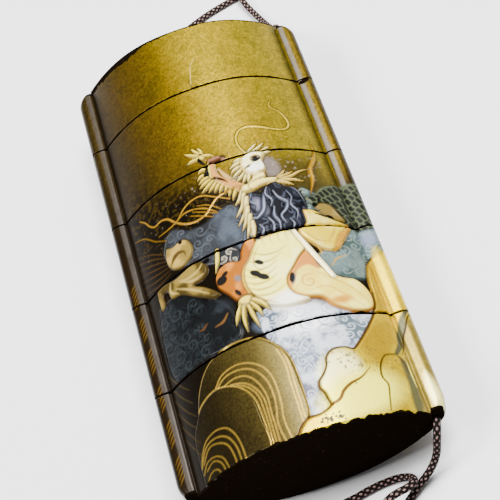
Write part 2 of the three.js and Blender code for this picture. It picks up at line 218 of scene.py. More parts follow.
LOOP_NEAR = [
    (7.6, -58.5, 1.4), (5.6, -58.8, 1.2), (3.2, -58.9, LIE), (0.4, -58.8, LIE), (-2, -57.8, LIE),
    (-3, -55.5, LIE), (-2, -53.3, LIE), (0.4, -52.3, LIE), (3.4, -51.9, LIE), (8, -51.1, LIE),
    (11.4, -50.9, LIE), (13.1, -51.15, 1.0), (14.3, -51.95, 1.9), (14.7, -52.95, 3.1), (14.3, -54, 4.3),
    (13.1, -54.75, 5.15), (11.4, -55.1, 5.45), (9.5, -55.5, 5.15), (7.9, -56.5, 4.5), (7.1, -58, 3.7),
    (6.9, -59.8, 2.7)]
LOOP_FAR = [
    (6.4, -59.7, 1.7), (8.6, -59.7, 1.4), (11, -59.9, 0.9), (14.2, -60.4, LIE), (17.4, -61.2, LIE),
    (20, -62.6, LIE), (21.5, -64.9, LIE), (21.1, -67.4, LIE), (19.1, -69, LIE), (16.6, -68.7, LIE),
    (14.4, -67.1, LIE), (12.3, -65, LIE), (10.4, -62.9, 1.1), (8.4, -61.2, 1.9), (6, -60.8, 2.1)]
TAIL_LEFT = [(3.4, -61.5, 1.3), (0.4, -63, LIE), (-2.7, -65, LIE), (-5, -68, LIE)]
TAIL_RIGHT = [(7.2, -61.8, 1.5), (7.8, -65.2, LIE), (7.2, -69, LIE), (5, -71.8, LIE)]
KNOT = (7.2, -59.2, 1.85)
COIL_CENTRE = (22.4, 82.6)
COIL_OUTER = 8.4  # to the middle of the outermost strand
COIL_IN_TURNS, COIL_CLIMB_TURNS = 2.3, 0.25
COIL_START, COIL_END = np.radians((-77, 200))
COIL_TURNS = 4
COIL_PITCH = CORD * 1.01  # from strand to strand
POINTS_A_TURN = 16
LINE_STEP = 0.35  # between the points of a finished line
KNOT_SAMPLES = 24  # on the curve between two of the laid points
EASE = 0.6  # width of the bell that opens the bends
print("points laid by hand:", sum(map(len, (TOP_LEFT, TOP_RIGHT, BOTTOM_RIGHT, BOTTOM_LEFT, LOOP_NEAR,
                                            LOOP_FAR, TAIL_LEFT, TAIL_RIGHT))))

# %% Lines through the points


def run_along(line):
    """How far along a line each of its points is, from 0 to the line's length."""
    return np.concatenate([[0], np.cumsum(np.linalg.norm(np.diff(line, axis=0), axis=1))])


def points_at(at, run, line):
    """The places on a line at given lengths along it, by straight interpolation."""
    return np.stack([np.interp(at, run, line[:, k]) for k in range(line.shape[1])], -1)


def bell_mean(padded, width, spacing):
    """Each point as the mean of its neighbours, weighted by a bell curve three widths wide each way."""
    reach = int(3 * width / spacing)
    weights = np.exp(-0.5 * (np.arange(-reach, reach + 1) * spacing / width) ** 2)
    weights /= weights.sum()
    return np.stack([np.convolve(padded[:, k], weights, "valid") for k in range(padded.shape[1])], -1)


def smooth_line(points, step=LINE_STEP):
    """A centripetal Catmull-Rom curve through the points, sampled evenly along its own length.

    Between two points, the curve is the blend of three chords on each side, with knots spaced by
    the square root of the distance, which keeps it from looping where points are close.
    """
    p = np.asarray(points, float)
    p = np.concatenate([[2 * p[0] - p[1]], p, [2 * p[-1] - p[-2]]])
    knots = np.concatenate([[0], np.cumsum(np.linalg.norm(np.diff(p, axis=0), axis=1) ** 0.5)])
    pieces = []
    for i in range(1, len(p) - 2):
        a, b, c, d = knots[i - 1:i + 3]
        t = np.linspace(b, c, KNOT_SAMPLES)[:-1, None]
        ab = (b - t) / (b - a) * p[i - 1] + (t - a) / (b - a) * p[i]
        bc = (c - t) / (c - b) * p[i] + (t - b) / (c - b) * p[i + 1]
        cd = (d - t) / (d - c) * p[i + 1] + (t - c) / (d - c) * p[i + 2]
        abc = (c - t) / (c - a) * ab + (t - a) / (c - a) * bc
        bcd = (d - t) / (d - b) * bc + (t - b) / (d - b) * cd
        pieces.append((c - t) / (c - b) * abc + (t - b) / (c - b) * bcd)
    line = np.concatenate([*pieces, p[-2:-1]])
    run = run_along(line)
    return points_at(np.linspace(0, run[-1], max(int(run[-1] / step), 8)), run, line)


def eased(line):
    """The line with its bends opened a little. It is mirrored through its ends, so they stay put."""
    count = int(3 * EASE / LINE_STEP)
    before = 2 * line[0] - line[count:0:-1]
    after = 2 * line[-1] - line[-2:-count - 2:-1]
    return bell_mean(np.concatenate([before, line, after]), EASE, LINE_STEP)


def coil_turns():
    """The spare cord wound up: an inward spiral on the table, a short climb and an outward spiral."""
    whole = COIL_TURNS + (COIL_END - COIL_START) / (2 * np.pi)
    turn = np.arange(0, whole + 0.01, 1 / POINTS_A_TURN)
    climbed = np.clip((turn - COIL_IN_TURNS) / COIL_CLIMB_TURNS, 0, 1)
    inward = np.minimum(turn, COIL_IN_TURNS)
    outward = np.maximum(turn - COIL_IN_TURNS - COIL_CLIMB_TURNS, 0)
    radius = COIL_OUTER - (inward - outward) * COIL_PITCH
    angle = COIL_START + 2 * np.pi * turn
    height = LIE + CORD * climbed * climbed * (3 - 2 * climbed)
    x, y = COIL_CENTRE
    return np.stack([x + radius * np.cos(angle), y + radius * np.sin(angle), height], -1)


def length_of(line):
    return float(np.linalg.norm(np.diff(line, axis=0), axis=1).sum())


TOP_LINE = eased(smooth_line([*TOP_LEFT, *coil_turns(), *TOP_RIGHT[::-1]]))
RIGHT_LINE = eased(smooth_line([*BOTTOM_RIGHT, *LOOP_NEAR, *TAIL_RIGHT]))
LEFT_LINE = eased(smooth_line([*BOTTOM_LEFT, *LOOP_FAR, *TAIL_LEFT]))
print("cord lengths, mm:", *(round(length_of(line), 1) for line in (TOP_LINE, LEFT_LINE, RIGHT_LINE)))

# %% [markdown]
# ## The braid
# A round braid is two sets of strands that spiral opposite ways and pass over and under each other.
# A tube is carried along the line on a frame that doesn't twist, and its radius rises where a
# strand is on top. The same weave says where the pale strands show among the dark ones.

# %% The braid
BRAID_STRANDS = 8  # spiralling each way
BRAID_PITCH = 5.4  # length of one full turn of a strand
BRAID_RELIEF = 0.08
BRAID_STEP = 0.16  # between the rings of the tube
AROUND = 32  # points of a ring
# The pale strand is dimmed on the cords below the box as painted shade, and shows more on the top cord as
# painted light.
FLECKS_IN_SHADE, FLECKS_IN_LIGHT = 0.85, 1.35  # how much the pale strand shows, below and at the top
TIE_SIZE, TIE_POINTS, TIE_AROUND = 1.25, 240, 24  # the knot that ends a tail
WRAP_TURNS, WRAP_WIDE, WRAP_HIGH, WRAP_LONG = 1.75, 2.0, 1.55, 2.2
WRAP_ACROSS, WRAP_ALONG = np.array([0.78, 0.62, 0.0]), np.array([-0.62, 0.78, 0.0])

# %% The weave and the tube


def line_frames(line):
    """Unit tangents, and two unit normals carried along without twisting, one row for each point."""
    tangent = np.gradient(line, axis=0)
    tangent /= np.linalg.norm(tangent, axis=1)[:, None]
    normal = np.empty_like(tangent)
    seed = np.cross(tangent[0], (0.0, 0.0, 1.0))
    normal[0] = seed / np.linalg.norm(seed)
    for i in range(1, len(line)):
        n = normal[i - 1] - tangent[i] * (normal[i - 1] @ tangent[i])
        normal[i] = n / np.linalg.norm(n)
    return tangent, normal, np.cross(tangent, normal)


def weave(along, angle):
    """Height and paleness of the braid at a length and an angle.

    Strand phases: a = strands * (angle / turn + along / pitch), b with the other sign. A strand's
    crown is a half sine across it, and which set is on top alternates like a chessboard of
    whole numbers of a and b.
    """
    a = BRAID_STRANDS * (angle / (2 * np.pi) + along / BRAID_PITCH)
    b = BRAID_STRANDS * (angle / (2 * np.pi) - along / BRAID_PITCH)
    over = (np.floor(a) + np.floor(b)) % 2 > 0.5
    crown = np.where(over, np.abs(np.sin(np.pi * a)), np.abs(np.sin(np.pi * b))) ** 0.6
    pale = over & (np.floor(a) % 2 == 0)
    return crown, pale * np.clip(2.2 * crown - 0.9, 0, 1)


def tube(centre, side, up, run, count, thick):
    """Rings round a line, and their paleness: centre + radius * (cos(angle) * side + sin(angle) * up).

    The radius is half the thickness where a strand is on top, and less between the strands.
    """
    angle = np.linspace(0, 2 * np.pi, count, endpoint=False)
    crown, pale = weave(run[:, None], angle[None])
    radius = thick / 2 - BRAID_RELIEF * (1 - crown)
    out = np.cos(angle)[None, :, None] * side[:, None] + np.sin(angle)[None, :, None] * up[:, None]
    return centre[:, None] + radius[..., None] * out, pale


def braided(name, line, strength=FLECKS_IN_SHADE):
    """The cord as a closed braided tube along a line."""
    run = run_along(line)
    fine = np.linspace(0, run[-1], int(run[-1] / BRAID_STEP) + 2)
    centre = points_at(fine, run, line)
    _, normal, side = line_frames(centre)
    rings, pale = tube(centre, side, normal, fine, AROUND, CORD)
    piece = capped(name, rings)
    pale = pale * strength
    add_attribute(piece, "pale", np.concatenate([pale.ravel(), [pale.mean()] * 2]))
    return piece


# %% The knots


def tied_end(name, centre):
    """A tail's knot: a tube along a trefoil, x = sin t + 2 sin 2t, y = cos t - 2 cos 2t, z = -1.6 sin 3t."""
    t = np.linspace(0, 2 * np.pi, TIE_POINTS, endpoint=False)
    x, y, z = np.sin(t) + 2 * np.sin(2 * t), np.cos(t) - 2 * np.cos(2 * t), -1.6 * np.sin(3 * t)
    line = np.asarray(centre) + np.stack([x, y, z], -1) * TIE_SIZE / 5
    tangent = np.roll(line, -1, axis=0) - np.roll(line, 1, axis=0)
    tangent /= np.linalg.norm(tangent, axis=1)[:, None]
    outward = line - np.asarray(centre)
    outward -= tangent * (outward * tangent).sum(1)[:, None]
    outward /= np.linalg.norm(outward, axis=1)[:, None]
    run = run_along(np.concatenate([line, line[:1]]))[1:]
    rings, pale = tube(line, np.cross(tangent, outward), outward, run, TIE_AROUND, 0.72 * TIE_SIZE)
    quads = grid_faces(TIE_POINTS + 1, TIE_AROUND) % (TIE_POINTS * TIE_AROUND)
    piece = new_mesh(name, rings.reshape(-1, 3), quads)
    add_attribute(piece, "pale", pale.ravel())
    return piece


def wrapping():
    """The bow's middle: the cord carried nearly twice round the bundle of strands."""
    t = np.linspace(0, 2 * np.pi * WRAP_TURNS, 90)
    across, forward = WRAP_WIDE * np.cos(t), (t / t[-1] - 0.5) * WRAP_LONG
    place = np.asarray(KNOT) + WRAP_ACROSS * across[:, None] + WRAP_ALONG * forward[:, None]
    place[:, 2] = np.maximum(place[:, 2] + WRAP_HIGH * np.sin(t), LIE)
    return braided("bow_wrap", smooth_line(place, 0.3))


def end_place(tail, reach=1.4):
    """The centre of the knot that ends a tail, on the tail's own heading."""
    a, b = np.asarray(tail[-2], float), np.asarray(tail[-1], float)
    heading = (b - a) / np.linalg.norm(b - a)
    return (b + heading * reach) * (1, 1, 0) + (0, 0, 1.2)


# %% The cord's pieces
cord_top = braided("cord_top", TOP_LINE, FLECKS_IN_LIGHT)
cord_left = braided("cord_left", LEFT_LINE)
cord_right = braided("cord_right", RIGHT_LINE)
bow_wrap = wrapping()
knot_left = tied_end("knot_left", end_place(TAIL_LEFT))
knot_right = tied_end("knot_right", end_place(TAIL_RIGHT))
CORD_PIECES = [cord_top, cord_left, cord_right, bow_wrap, knot_left, knot_right]

for piece in CORD_PIECES:
    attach(piece, "root")
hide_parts("cord_top_left", "cord_top_right", "cord_coil")
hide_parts("cord_bottom_left", "bow_loop_far", "bow_tail_left")
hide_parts("cord_bottom_right", "bow_loop_near", "bow_tail_right")
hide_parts("bow_knot")
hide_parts("tail_knot_left")
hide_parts("tail_knot_right")

# %% What the cord is


print("cord triangles:", sum(len(p.data.polygons) * 2 for p in CORD_PIECES))

# %% [markdown]
# ## The section's outline
# All five sections share one outline: the lens of the box and a runner at each side. It is drawn
# finely, its corners are softened, and it is sampled closely on the front, where the picture is,
# and more coarsely on the back.

# %% The section's outline
FRONT_STEP, RUNNER_STEP, BACK_STEP = 0.15, 0.2, 0.3
SOFTEN = 0.12  # width of the bell that rounds its corners
SOFTEN_STEP = 0.02
FRONT, RIGHT_RUNNER, BACK_SIDE = range(3)  # the outline's zones, with the left runner as the fourth


def lens_depth(x, inset=0.0):
    """Half the lens's thickness at x: edge + rise * (1 - share ** fullness), less inset along the normal."""
    share = np.minimum(np.abs(x) / BODY_HALF, 1)
    rise = THICKNESS / 2 - EDGE_HALF
    slope = rise * FULLNESS * share ** (FULLNESS - 1) / BODY_HALF
    return EDGE_HALF + rise * (1 - share ** FULLNESS) - inset * np.hypot(1, slope)


def right_runner():
    """Points down the outside of the right runner, from the front groove to the back one."""
    turn = np.linspace(np.pi / 2, 0, 12)
    x = np.concatenate([[BODY_HALF, BODY_HALF + 0.4], OUTER_HALF - RUNNER_EDGE + RUNNER_EDGE * np.cos(turn)])
    z = np.concatenate([[EDGE_HALF, RUNNER_HALF], RUNNER_HALF - RUNNER_EDGE + RUNNER_EDGE * np.sin(turn)])
    return np.concatenate([np.stack([x, z], -1), np.stack([x, -z], -1)[::-1]])


def section_outline():
    """The closed outline as x and z, the zone of each point, and its share of the way through it."""
    x = np.linspace(-BODY_HALF, BODY_HALF, 700)
    front = np.stack([x, lens_depth(x)], -1)[:-1]
    runner = right_runner()
    parts = [front, runner, -front, -runner]
    line = np.concatenate(parts)
    kind = np.concatenate([np.full(len(p), i) for i, p in enumerate(parts)])
    closed = np.concatenate([line, line[:1]])
    run = run_along(closed)
    steps = np.array([FRONT_STEP, RUNNER_STEP, BACK_STEP, RUNNER_STEP])
    density = np.concatenate([[0], np.cumsum(np.diff(run) / steps[kind])])
    count = int(density[-1])
    at = np.interp(np.arange(count) * density[-1] / count, density, run)
    even = np.arange(0, run[-1], SOFTEN_STEP)
    points = points_at(even, run, closed)
    reach = int(3 * SOFTEN / SOFTEN_STEP)
    wrapped = np.concatenate([points[-reach:], points, points[:reach]])
    outline = points_at(at, even, bell_mean(wrapped, SOFTEN, SOFTEN_STEP))
    starts = np.array([*[run[np.flatnonzero(kind == i)[0]] for i in range(4)], run[-1]])
    which = np.clip(np.searchsorted(starts, at, "right") - 1, 0, 3)
    share = (at - starts[which]) / (starts[which + 1] - starts[which])
    return outline, which, share


OUTLINE, ZONE, ZONE_SHARE = section_outline()
print("outline points:", len(OUTLINE))


def inner_outline(half, inset):
    """The outline of a socket, riser or inside, with one point for each point of the outer outline.

    A point on the lens keeps its share of the width. The points of a runner spread down the
    straight end wall, so rings of the two outlines join without twisting.
    """
    end = lens_depth(np.array(half), inset)
    lens_x = half * np.clip(OUTLINE[:, 0] / BODY_HALF, -1, 1)
    depth = lens_depth(lens_x, inset)
    down = end * (1 - 2 * ZONE_SHARE)
    zones = [ZONE == FRONT, ZONE == RIGHT_RUNNER, ZONE == BACK_SIDE]
    x = np.select(zones, [lens_x, np.full_like(lens_x, half), lens_x], -half)
    z = np.select(zones, [depth, down, -depth], -down)
    return np.stack([x, z], -1)


# %% [markdown]
# ## The picture on the front
# The real box carries sprinkled gold and coloured lacquer, raised by up to a millimetre: a horned
# dragon comes out of the sea between wave mounds and golden rocks. The motif is a common one, and
# this one is drawn anew from simple strokes. Figures this fine need their own colour at each
# point, so they are painted on the mesh itself. A canvas holds colour, gold, height and roughness
# for every point of the surface. Each brush below covers some of them, worked out from distances
# to a line, an oval or an outline.

# %% Colours of the lacquer
BLACK = (0.0022, 0.0018, 0.0015)
SHADE = (0.0075, 0.0045, 0.0018)
GOLD = (0.180, 0.114, 0.001)
BROWN_GOLD = (0.098, 0.056, 0.004)
LINE_GOLD = (0.30, 0.190, 0.026)
BROWN = (0.045, 0.020, 0.004)
BRIGHT = (0.72, 0.52, 0.004)
CREAM = (0.70, 0.54, 0.060)
PALE = (0.92, 0.82, 0.12)
ORANGE = (0.27, 0.080, 0.003)
RUST = (0.055, 0.016, 0.003)
TAN = (0.17, 0.115, 0.022)
DARK_TAN = (0.042, 0.028, 0.006)
SLATE = (0.0145, 0.0155, 0.0170)
PALE_SLATE = (0.062, 0.070, 0.078)
DEEP = (0.0030, 0.0031, 0.0031)
DEEP_LINE = (0.017, 0.020, 0.021)
TEAL = (0.042, 0.066, 0.060)
MIST = (0.135, 0.165, 0.215)
NET = (0.066, 0.080, 0.040)
OLIVE = (0.064, 0.046, 0.009)
# A raised figure gets a painted shadow: the lacquer round it is darkened in a thin ring.
SHADOW_REACH, SHADOW_DARK = 0.38, 0.62  # how far around it a raised figure darkens the lacquer, and how much
SLOPE = 0.5  # a raised figure climbs to its height over this width
SOFT_EDGE = 0.10
ANYWHERE = ((-99, -99), (99, 99))

# %% Blending and noise


def step(value, low, high):
    """0 below low, 1 above high, and a smooth rise between them."""
    t = np.clip((value - low) / (high - low), 0, 1)
    return t * t * (3 - 2 * t)


def mix(a, b, share):
    """Colours blended point by point."""
    return np.asarray(a) + (np.asarray(b) - np.asarray(a)) * np.asarray(share)[..., None]


def noise(x, y, scale, seed, octaves=3):
    """Smooth random values from 0 to 1: a lattice of random numbers blended between its corners."""
    total, weight = np.zeros(np.shape(x)), 0.0
    for octave in range(octaves):
        lattice = np.random.default_rng(seed + octave).random((64, 64))
        u, v = x / scale * 2 ** octave + 11.3, y / scale * 2 ** octave + 7.7
        i, j = np.floor(u).astype(int), np.floor(v).astype(int)
        fu, fv = u - i, v - j
        fu, fv = fu * fu * (3 - 2 * fu), fv * fv * (3 - 2 * fv)
        a, b = lattice[i % 64, j % 64], lattice[(i + 1) % 64, j % 64]
        c, d = lattice[i % 64, (j + 1) % 64], lattice[(i + 1) % 64, (j + 1) % 64]
        total += ((a * (1 - fu) + b * fu) * (1 - fv) + (c * (1 - fu) + d * fu) * fv) / 2 ** octave
        weight += 1 / 2 ** octave
    return total / weight


# %% The canvas


class Canvas:
    """Points x and y of a surface in millimetres, with the lacquer's colour, gold, roughness and height,
    and where it has worn bare."""

    def __init__(self, x, y):
        self.x, self.y = x, y
        self.colour = np.tile(np.array(BLACK), (len(x), 1))
        self.gold = np.zeros(len(x))
        self.rough = np.full(len(x), 0.25)
        self.height = np.zeros(len(x))
        self.bare = np.zeros(len(x))
        self.grain = noise(x, y, 2.4, 71, 3)

    def near(self, low, high, margin):
        """Numbers of the points inside a box, so a brush works only where it can reach."""
        return np.flatnonzero((self.x > low[0] - margin) & (self.x < high[0] + margin)
                              & (self.y > low[1] - margin) & (self.y < high[1] + margin))

    def cover(self, where, depth, colour, edge=None, band=0.5, gold=0.0, rise=0.0, rough=0.3,
              soft=SOFT_EDGE, strength=1.0, second=None):
        """Paints the points whose depth inside the figure is positive.

        The colour turns to edge within band of the border, and to second where the grain is high.
        A raised figure gets a thin painted shadow round it, on the lacquer next to it.
        The height climbs over a slope's width from the border.
        """
        share = np.clip(depth / soft + 0.5, 0, 1) * strength
        # The painted shadow round a raised figure.
        if rise > 0:
            self.colour[where] *= 1 - SHADOW_DARK * (step(depth, -SHADOW_REACH, 0) * (1 - share))[:, None]
        paint = np.broadcast_to(np.asarray(colour, float), (len(where), 3))
        if second is not None:
            paint = mix(paint, second, step(self.grain[where], 0.38, 0.72))
        if edge is not None:
            paint = mix(edge, paint, step(depth, 0, band))
        self.colour[where] += (paint - self.colour[where]) * share[:, None]
        self.gold[where] += (gold - self.gold[where]) * share
        self.rough[where] += (rough - self.rough[where]) * share
        if rise > 0:
            slope = np.clip(depth / SLOPE, 0, 1)
            full = rise * slope * (2 - slope)
            under = self.height[where]
            self.height[where] = np.where(depth > 0, np.maximum(full, under * (1 - slope)), under)


# %% Brushes


def line_distance(x, y, points):
    """Distance to a chain of straight pieces, and the share of the chain's length at the nearest place.

    For each piece, the nearest place is the foot of the perpendicular, kept between its ends.
    """
    points = np.asarray(points, float)
    run = run_along(points)
    best, share = np.full(x.shape, 1e9), np.zeros(x.shape)
    for (ax, ay), (bx, by), start, end in zip(points[:-1], points[1:], run[:-1], run[1:]):
        dx, dy = bx - ax, by - ay
        t = np.clip(((x - ax) * dx + (y - ay) * dy) / max(dx * dx + dy * dy, 1e-9), 0, 1)
        d = (x - ax - t * dx) ** 2 + (y - ay - t * dy) ** 2
        closer = d < best
        best = np.where(closer, d, best)
        share = np.where(closer, (start + t * (end - start)) / run[-1], share)
    return np.sqrt(best), share


def bent(points):
    """A smooth flat line through a few points."""
    return smooth_line([(px, py, 0) for px, py in points], 0.5)[:, :2]


def stroke(c, points, width, colour, **paint):
    """A line of paint. Width is one number, or several from its start to its end."""
    line = bent(points) if len(points) > 2 else np.asarray(points, float)
    widths = np.atleast_1d(width) / 2
    where = c.near(line.min(0), line.max(0), widths.max() + SHADOW_REACH)
    if len(where):
        d, share = line_distance(c.x[where], c.y[where], line)
        c.cover(where, np.interp(share, np.linspace(0, 1, len(widths)), widths) - d, colour, **paint)


def oval(c, centre, radii, turn, colour, **paint):
    """A filled oval. Depth inside it is (1 - scaled distance) times its smaller radius."""
    reach = max(radii)
    where = c.near(np.subtract(centre, reach), np.add(centre, reach), paint.get("soft", SOFT_EDGE) + SHADOW_REACH)
    if len(where):
        dx, dy = c.x[where] - centre[0], c.y[where] - centre[1]
        a = (dx * np.cos(turn) + dy * np.sin(turn)) / radii[0]
        b = (-dx * np.sin(turn) + dy * np.cos(turn)) / radii[1]
        c.cover(where, (1 - np.hypot(a, b)) * min(radii), colour, **paint)


def inside(x, y, line):
    """Whether points lie inside a closed line: a ray to the right crosses it an odd number of times."""
    found = np.zeros(np.shape(x), bool)
    for (ax, ay), (bx, by) in zip(line, np.roll(line, -1, axis=0)):
        if ay != by:
            found ^= ((ay > y) != (by > y)) & (x < (bx - ax) * (y - ay) / (by - ay) + ax)
    return found


def within(c, outline):
    """The points in an outline's box: their numbers, x and y, and whether they lie in the smooth outline."""
    where = c.near(np.min(outline, 0), np.max(outline, 0), 0.0)
    x, y = c.x[where], c.y[where]
    return where, x, y, inside(x, y, bent([*outline, outline[0]]))


def area(c, points, colour, **paint):
    """A filled smooth outline. Depth is the distance to the outline, negative outside it."""
    line = bent([*points, points[0]])
    where = c.near(line.min(0), line.max(0), paint.get("soft", SOFT_EDGE) + SHADOW_REACH)
    if len(where):
        x, y = c.x[where], c.y[where]
        d, _ = line_distance(x, y, line)
        c.cover(where, np.where(inside(x, y, line), d, -d), colour, **paint)


# %% Curls, locks and drops


def curl(c, at, size, turn, way, width, colour, **paint):
    """A hooked curl of foam: radius falls from size to a fifth of it over one and a quarter turns."""
    t = np.linspace(0, 1, 13)
    angle = turn + way * t * 2.5 * np.pi
    radius = size * (1 - 0.8 * t)
    line = np.stack([at[0] + radius * np.cos(angle), at[1] + radius * np.sin(angle)], -1)
    tail = line[0] + size * np.array([np.cos(turn - way * 1.2), np.sin(turn - way * 1.2)])
    stroke(c, [tail, *line], (0.05, width, width, width * 0.7), colour, **paint)


def curls(c, outline, size, seed, width, colour, **paint):
    """Curls strewn over an outline in rows, each a little off its place and turned its own way."""
    rng = np.random.default_rng(seed)
    outline = np.asarray(outline, float)
    low, high = outline.min(0), outline.max(0)
    for row, y in enumerate(np.arange(low[1] + size, high[1], size * 1.75)):
        for x in np.arange(low[0] + size * (1 + 0.9 * (row % 2)), high[0], size * 2.1):
            at = np.array([x, y]) + rng.normal(0, size * 0.2, 2)
            big, turn, way = size * rng.uniform(0.7, 1.05), rng.uniform(0, 6.28), rng.choice([-1, 1])
            if inside(*at, outline):
                curl(c, at, big, turn, way, width, colour, **paint)


def haze(c, outline, scale, seed, colour, share):
    """Lets the curls of a field sink into one colour, in soft patches of a noise."""
    where, x, y, here = within(c, outline)
    patch = share * step(noise(x, y, scale, seed), 0.42, 0.70) * here
    c.colour[where] = mix(c.colour[where], colour, patch)


def locks(c, triples, width, colour, **paint):
    """Pointed locks, claws or flames: each a root, a bend and a tip, widest near the root."""
    for points in triples:
        stroke(c, points, (width * 0.8, width, width * 0.75, 0.08), colour, **paint)


def specks(c, rng, count, draw, spread, sizes, colour, strengths, soft=SOFT_EDGE, box=ANYWHERE):
    """Small round drops. Each place is drawn first, then its size and strength if it lies in the box."""
    for _ in range(count):
        at = draw(*spread)
        if np.all(at > box[0]) and np.all(at < box[1]):
            radius = rng.uniform(*sizes)
            oval(c, at, (radius, radius), 0, colour, soft=soft, strength=rng.uniform(*strengths))


# %% [markdown]
# ## The ground
# The upper half is sprinkled with gold so densely that it reads as gold, browner at the left. Its
# left edge also carries painted shade, and its middle and right a painted highlight. Lower down the
# flakes thin out over black, at the left first. The grooves get painted shade, the runners a painted
# grey highlight along their inner edge, and their ends are worn bare.

# %% The ground


def paint_ground(c):
    """Sprinkled gold that fades downward: more at the right and above, less at the left and below.

    The left edge is darker partly by thinner gold and partly by painted shade. The middle and right
    are brighter partly by richer gold and partly by a painted highlight. The grooves get painted
    shade, and the runners' inner edges a painted grey highlight.
    """
    x, y = c.x, c.y
    cloud, fine = noise(x, y, 8.0, 3), noise(x, y, 0.45, 5, 2)
    drift = 5 * (cloud - 0.5)
    dense = step(y + 0.30 * x + drift, 2.0, 16.0)
    tone = step(x + 0.12 * y + drift, -13.0, 6.0)
    gold = mix(BROWN_GOLD, GOLD, tone)
    # Brighter gold in the middle and at the right: partly richer sprinkling, partly a painted highlight.
    gold = mix(gold, (0.26, 0.182, 0.003), 0.8 * step(10 - np.abs(x - 5) + 0.2 * (y - 30), 0, 9))
    gold = mix(gold, (0.44, 0.325, 0.010), 0.85 * step(x, 8, 16))
    # Darker toward the left edge: partly thinner gold, partly painted shade.
    shade = step(-x + 0.12 * (20 - y), 10.0, 19.5)
    gold = mix(gold, (0.020, 0.0115, 0.0018), 0.88 * shade)
    gold = mix(gold, gold * (0.80, 0.84, 0.90), step(noise(x, y, 2.6, 9), 0.5, 0.8))
    gold = gold * (0.66 + 0.66 * fine)[:, None]
    dust = step(fine + 0.35 * step(y + 0.5 * x, -22, 8), 0.80, 1.05)
    dark = mix((0.0045, 0.0030, 0.0014), (0.032, 0.020, 0.003), dust)
    c.colour[:] = mix(dark, gold, dense)
    veil = step(x, 7.5, 12) * step(y + 0.2 * x, -4, 3) * (1 - step(y, 7, 12.5)) * (1 - step(x, 17, 21))
    c.colour[:] = mix(c.colour, (0.052, 0.038, 0.011), 0.7 * veil * (0.6 + 0.8 * fine))
    runner = step(np.abs(x), BODY_HALF, BODY_HALF + 0.3)
    # The left runner is darker than the right: partly its own tone, partly painted shade.
    side = mix((0.046, 0.030, 0.006), (0.115, 0.074, 0.004), step(x, -1, 1))
    side = side * (0.6 + 0.7 * fine)[:, None]
    low = step(y, np.where(x > 0, 0.0, 6.0), np.where(x > 0, 12.0, 34.0))
    side = mix((0.011, 0.006, 0.002), side, low)
    c.colour[:] = mix(c.colour, side, runner)
    # A painted grey highlight along each runner's inner edge, dimmer on the left runner; less gold under it.
    runner_highlight = step(np.abs(x), 20.95, 21.15) * (1 - step(np.abs(x), 21.9, 22.25))
    runner_highlight = runner_highlight * (0.55 + 0.6 * noise(x, y, 1.4, 8))
    grey = mix((0.050, 0.043, 0.036), (0.150, 0.135, 0.115), step(x, -1, 1))
    c.colour[:] = mix(c.colour, grey, 0.85 * runner_highlight)
    # Painted shade on the lens next to the grooves before the runners.
    groove = step(np.abs(x), 18.6, 20.6) * (1 - runner)
    c.colour[:] = mix(c.colour, SHADE, 0.75 * groove)
    end = step(np.abs(y), RUNNER_END - 0.55, RUNNER_END - 0.35) * runner
    c.colour[:] = mix(c.colour, BLACK, np.maximum(0.9 * step(np.abs(x), 23.3, 23.8), 0.95 * end))
    c.gold[:] = (0.35 + 0.5 * dense) * (1 - 0.6 * runner_highlight)
    c.bare[:] = end
    c.rough[:] = 0.28 + 0.12 * dense


# %% [markdown]
# ## Sea, mounds and rocks
# Water is a dark or grey-blue field strewn with pale hooked curls, and the near water carries a
# painted highlight. The mounds at the lower left are dusted with gold and ringed by fine gold lines,
# one inside another. The rocks are raised flat gold with brown contours, a crevice, dots of moss and
# painted highlights.

# %% Outlines of the sea, mounds and rocks
SEA_LEFT = [(-13.4, 0.6), (-11.6, 1.4), (-8.6, -0.6), (-5.2, -0.8), (-2.6, 0.6), (-0.2, 1.2),
            (1.8, -0.8), (1.6, -4), (0.2, -8), (-2.2, -11.4), (-5.6, -10), (-9.4, -8.6), (-12.8, -6.2),
            (-14.6, -2.4)]
SEA_DEEP = [(-18.6, -11.4), (-14.4, -11.4), (-11.2, -13.6), (-9.4, -16), (-6.4, -18.2), (-5, -21.6),
            (-4.8, -25.4), (-8, -26.8), (-13, -26.6), (-18.8, -26.4), (-19.6, -19)]
SEA_RIGHT = [(13.6, 1.6), (15.4, 0.4), (16.4, -2.4), (19, -7.2), (24.6, -7.4), (24.6, -13.6),
             (20.4, -14.9), (18.6, -19.4), (14.2, -19), (12.4, -14), (15.4, -12), (13.4, -3)]
SEA_NEAR = [(-1.4, -22.6), (2.6, -23.2), (9, -24.4), (14.5, -26.4), (18.2, -26.2), (14.8, -31.4),
            (12.4, -34.4), (9.8, -33.6), (7.2, -34.8), (6, -38), (4.5, -40), (5.2, -44), (1.8, -44.8),
            (2.0, -36), (1.2, -31), (-0.6, -28.4), (-1.6, -25)]
MOUND_BACK = [(-16.4, -47.8), (-16.4, -35), (-15.3, -31.8), (-13.8, -29.4), (-12, -27.8),
              (-9.6, -26.9), (-6, -26.6), (-3.4, -27), (-1.4, -28.3), (0.3, -30.2), (1.6, -32.8),
              (2.0, -37), (1.7, -44.6), (0, -46), (-1.6, -47.8)]
MOUND_FRONT = [(-18.6, -47.8), (-18.2, -38.6), (-17.2, -36.6), (-15.9, -34.7), (-14.2, -33.6),
               (-12.2, -33.1), (-10.4, -33.5), (-8.4, -34.6), (-6.8, -36.4), (-5.9, -38.6),
               (-5.6, -42), (-5.6, -47.8)]
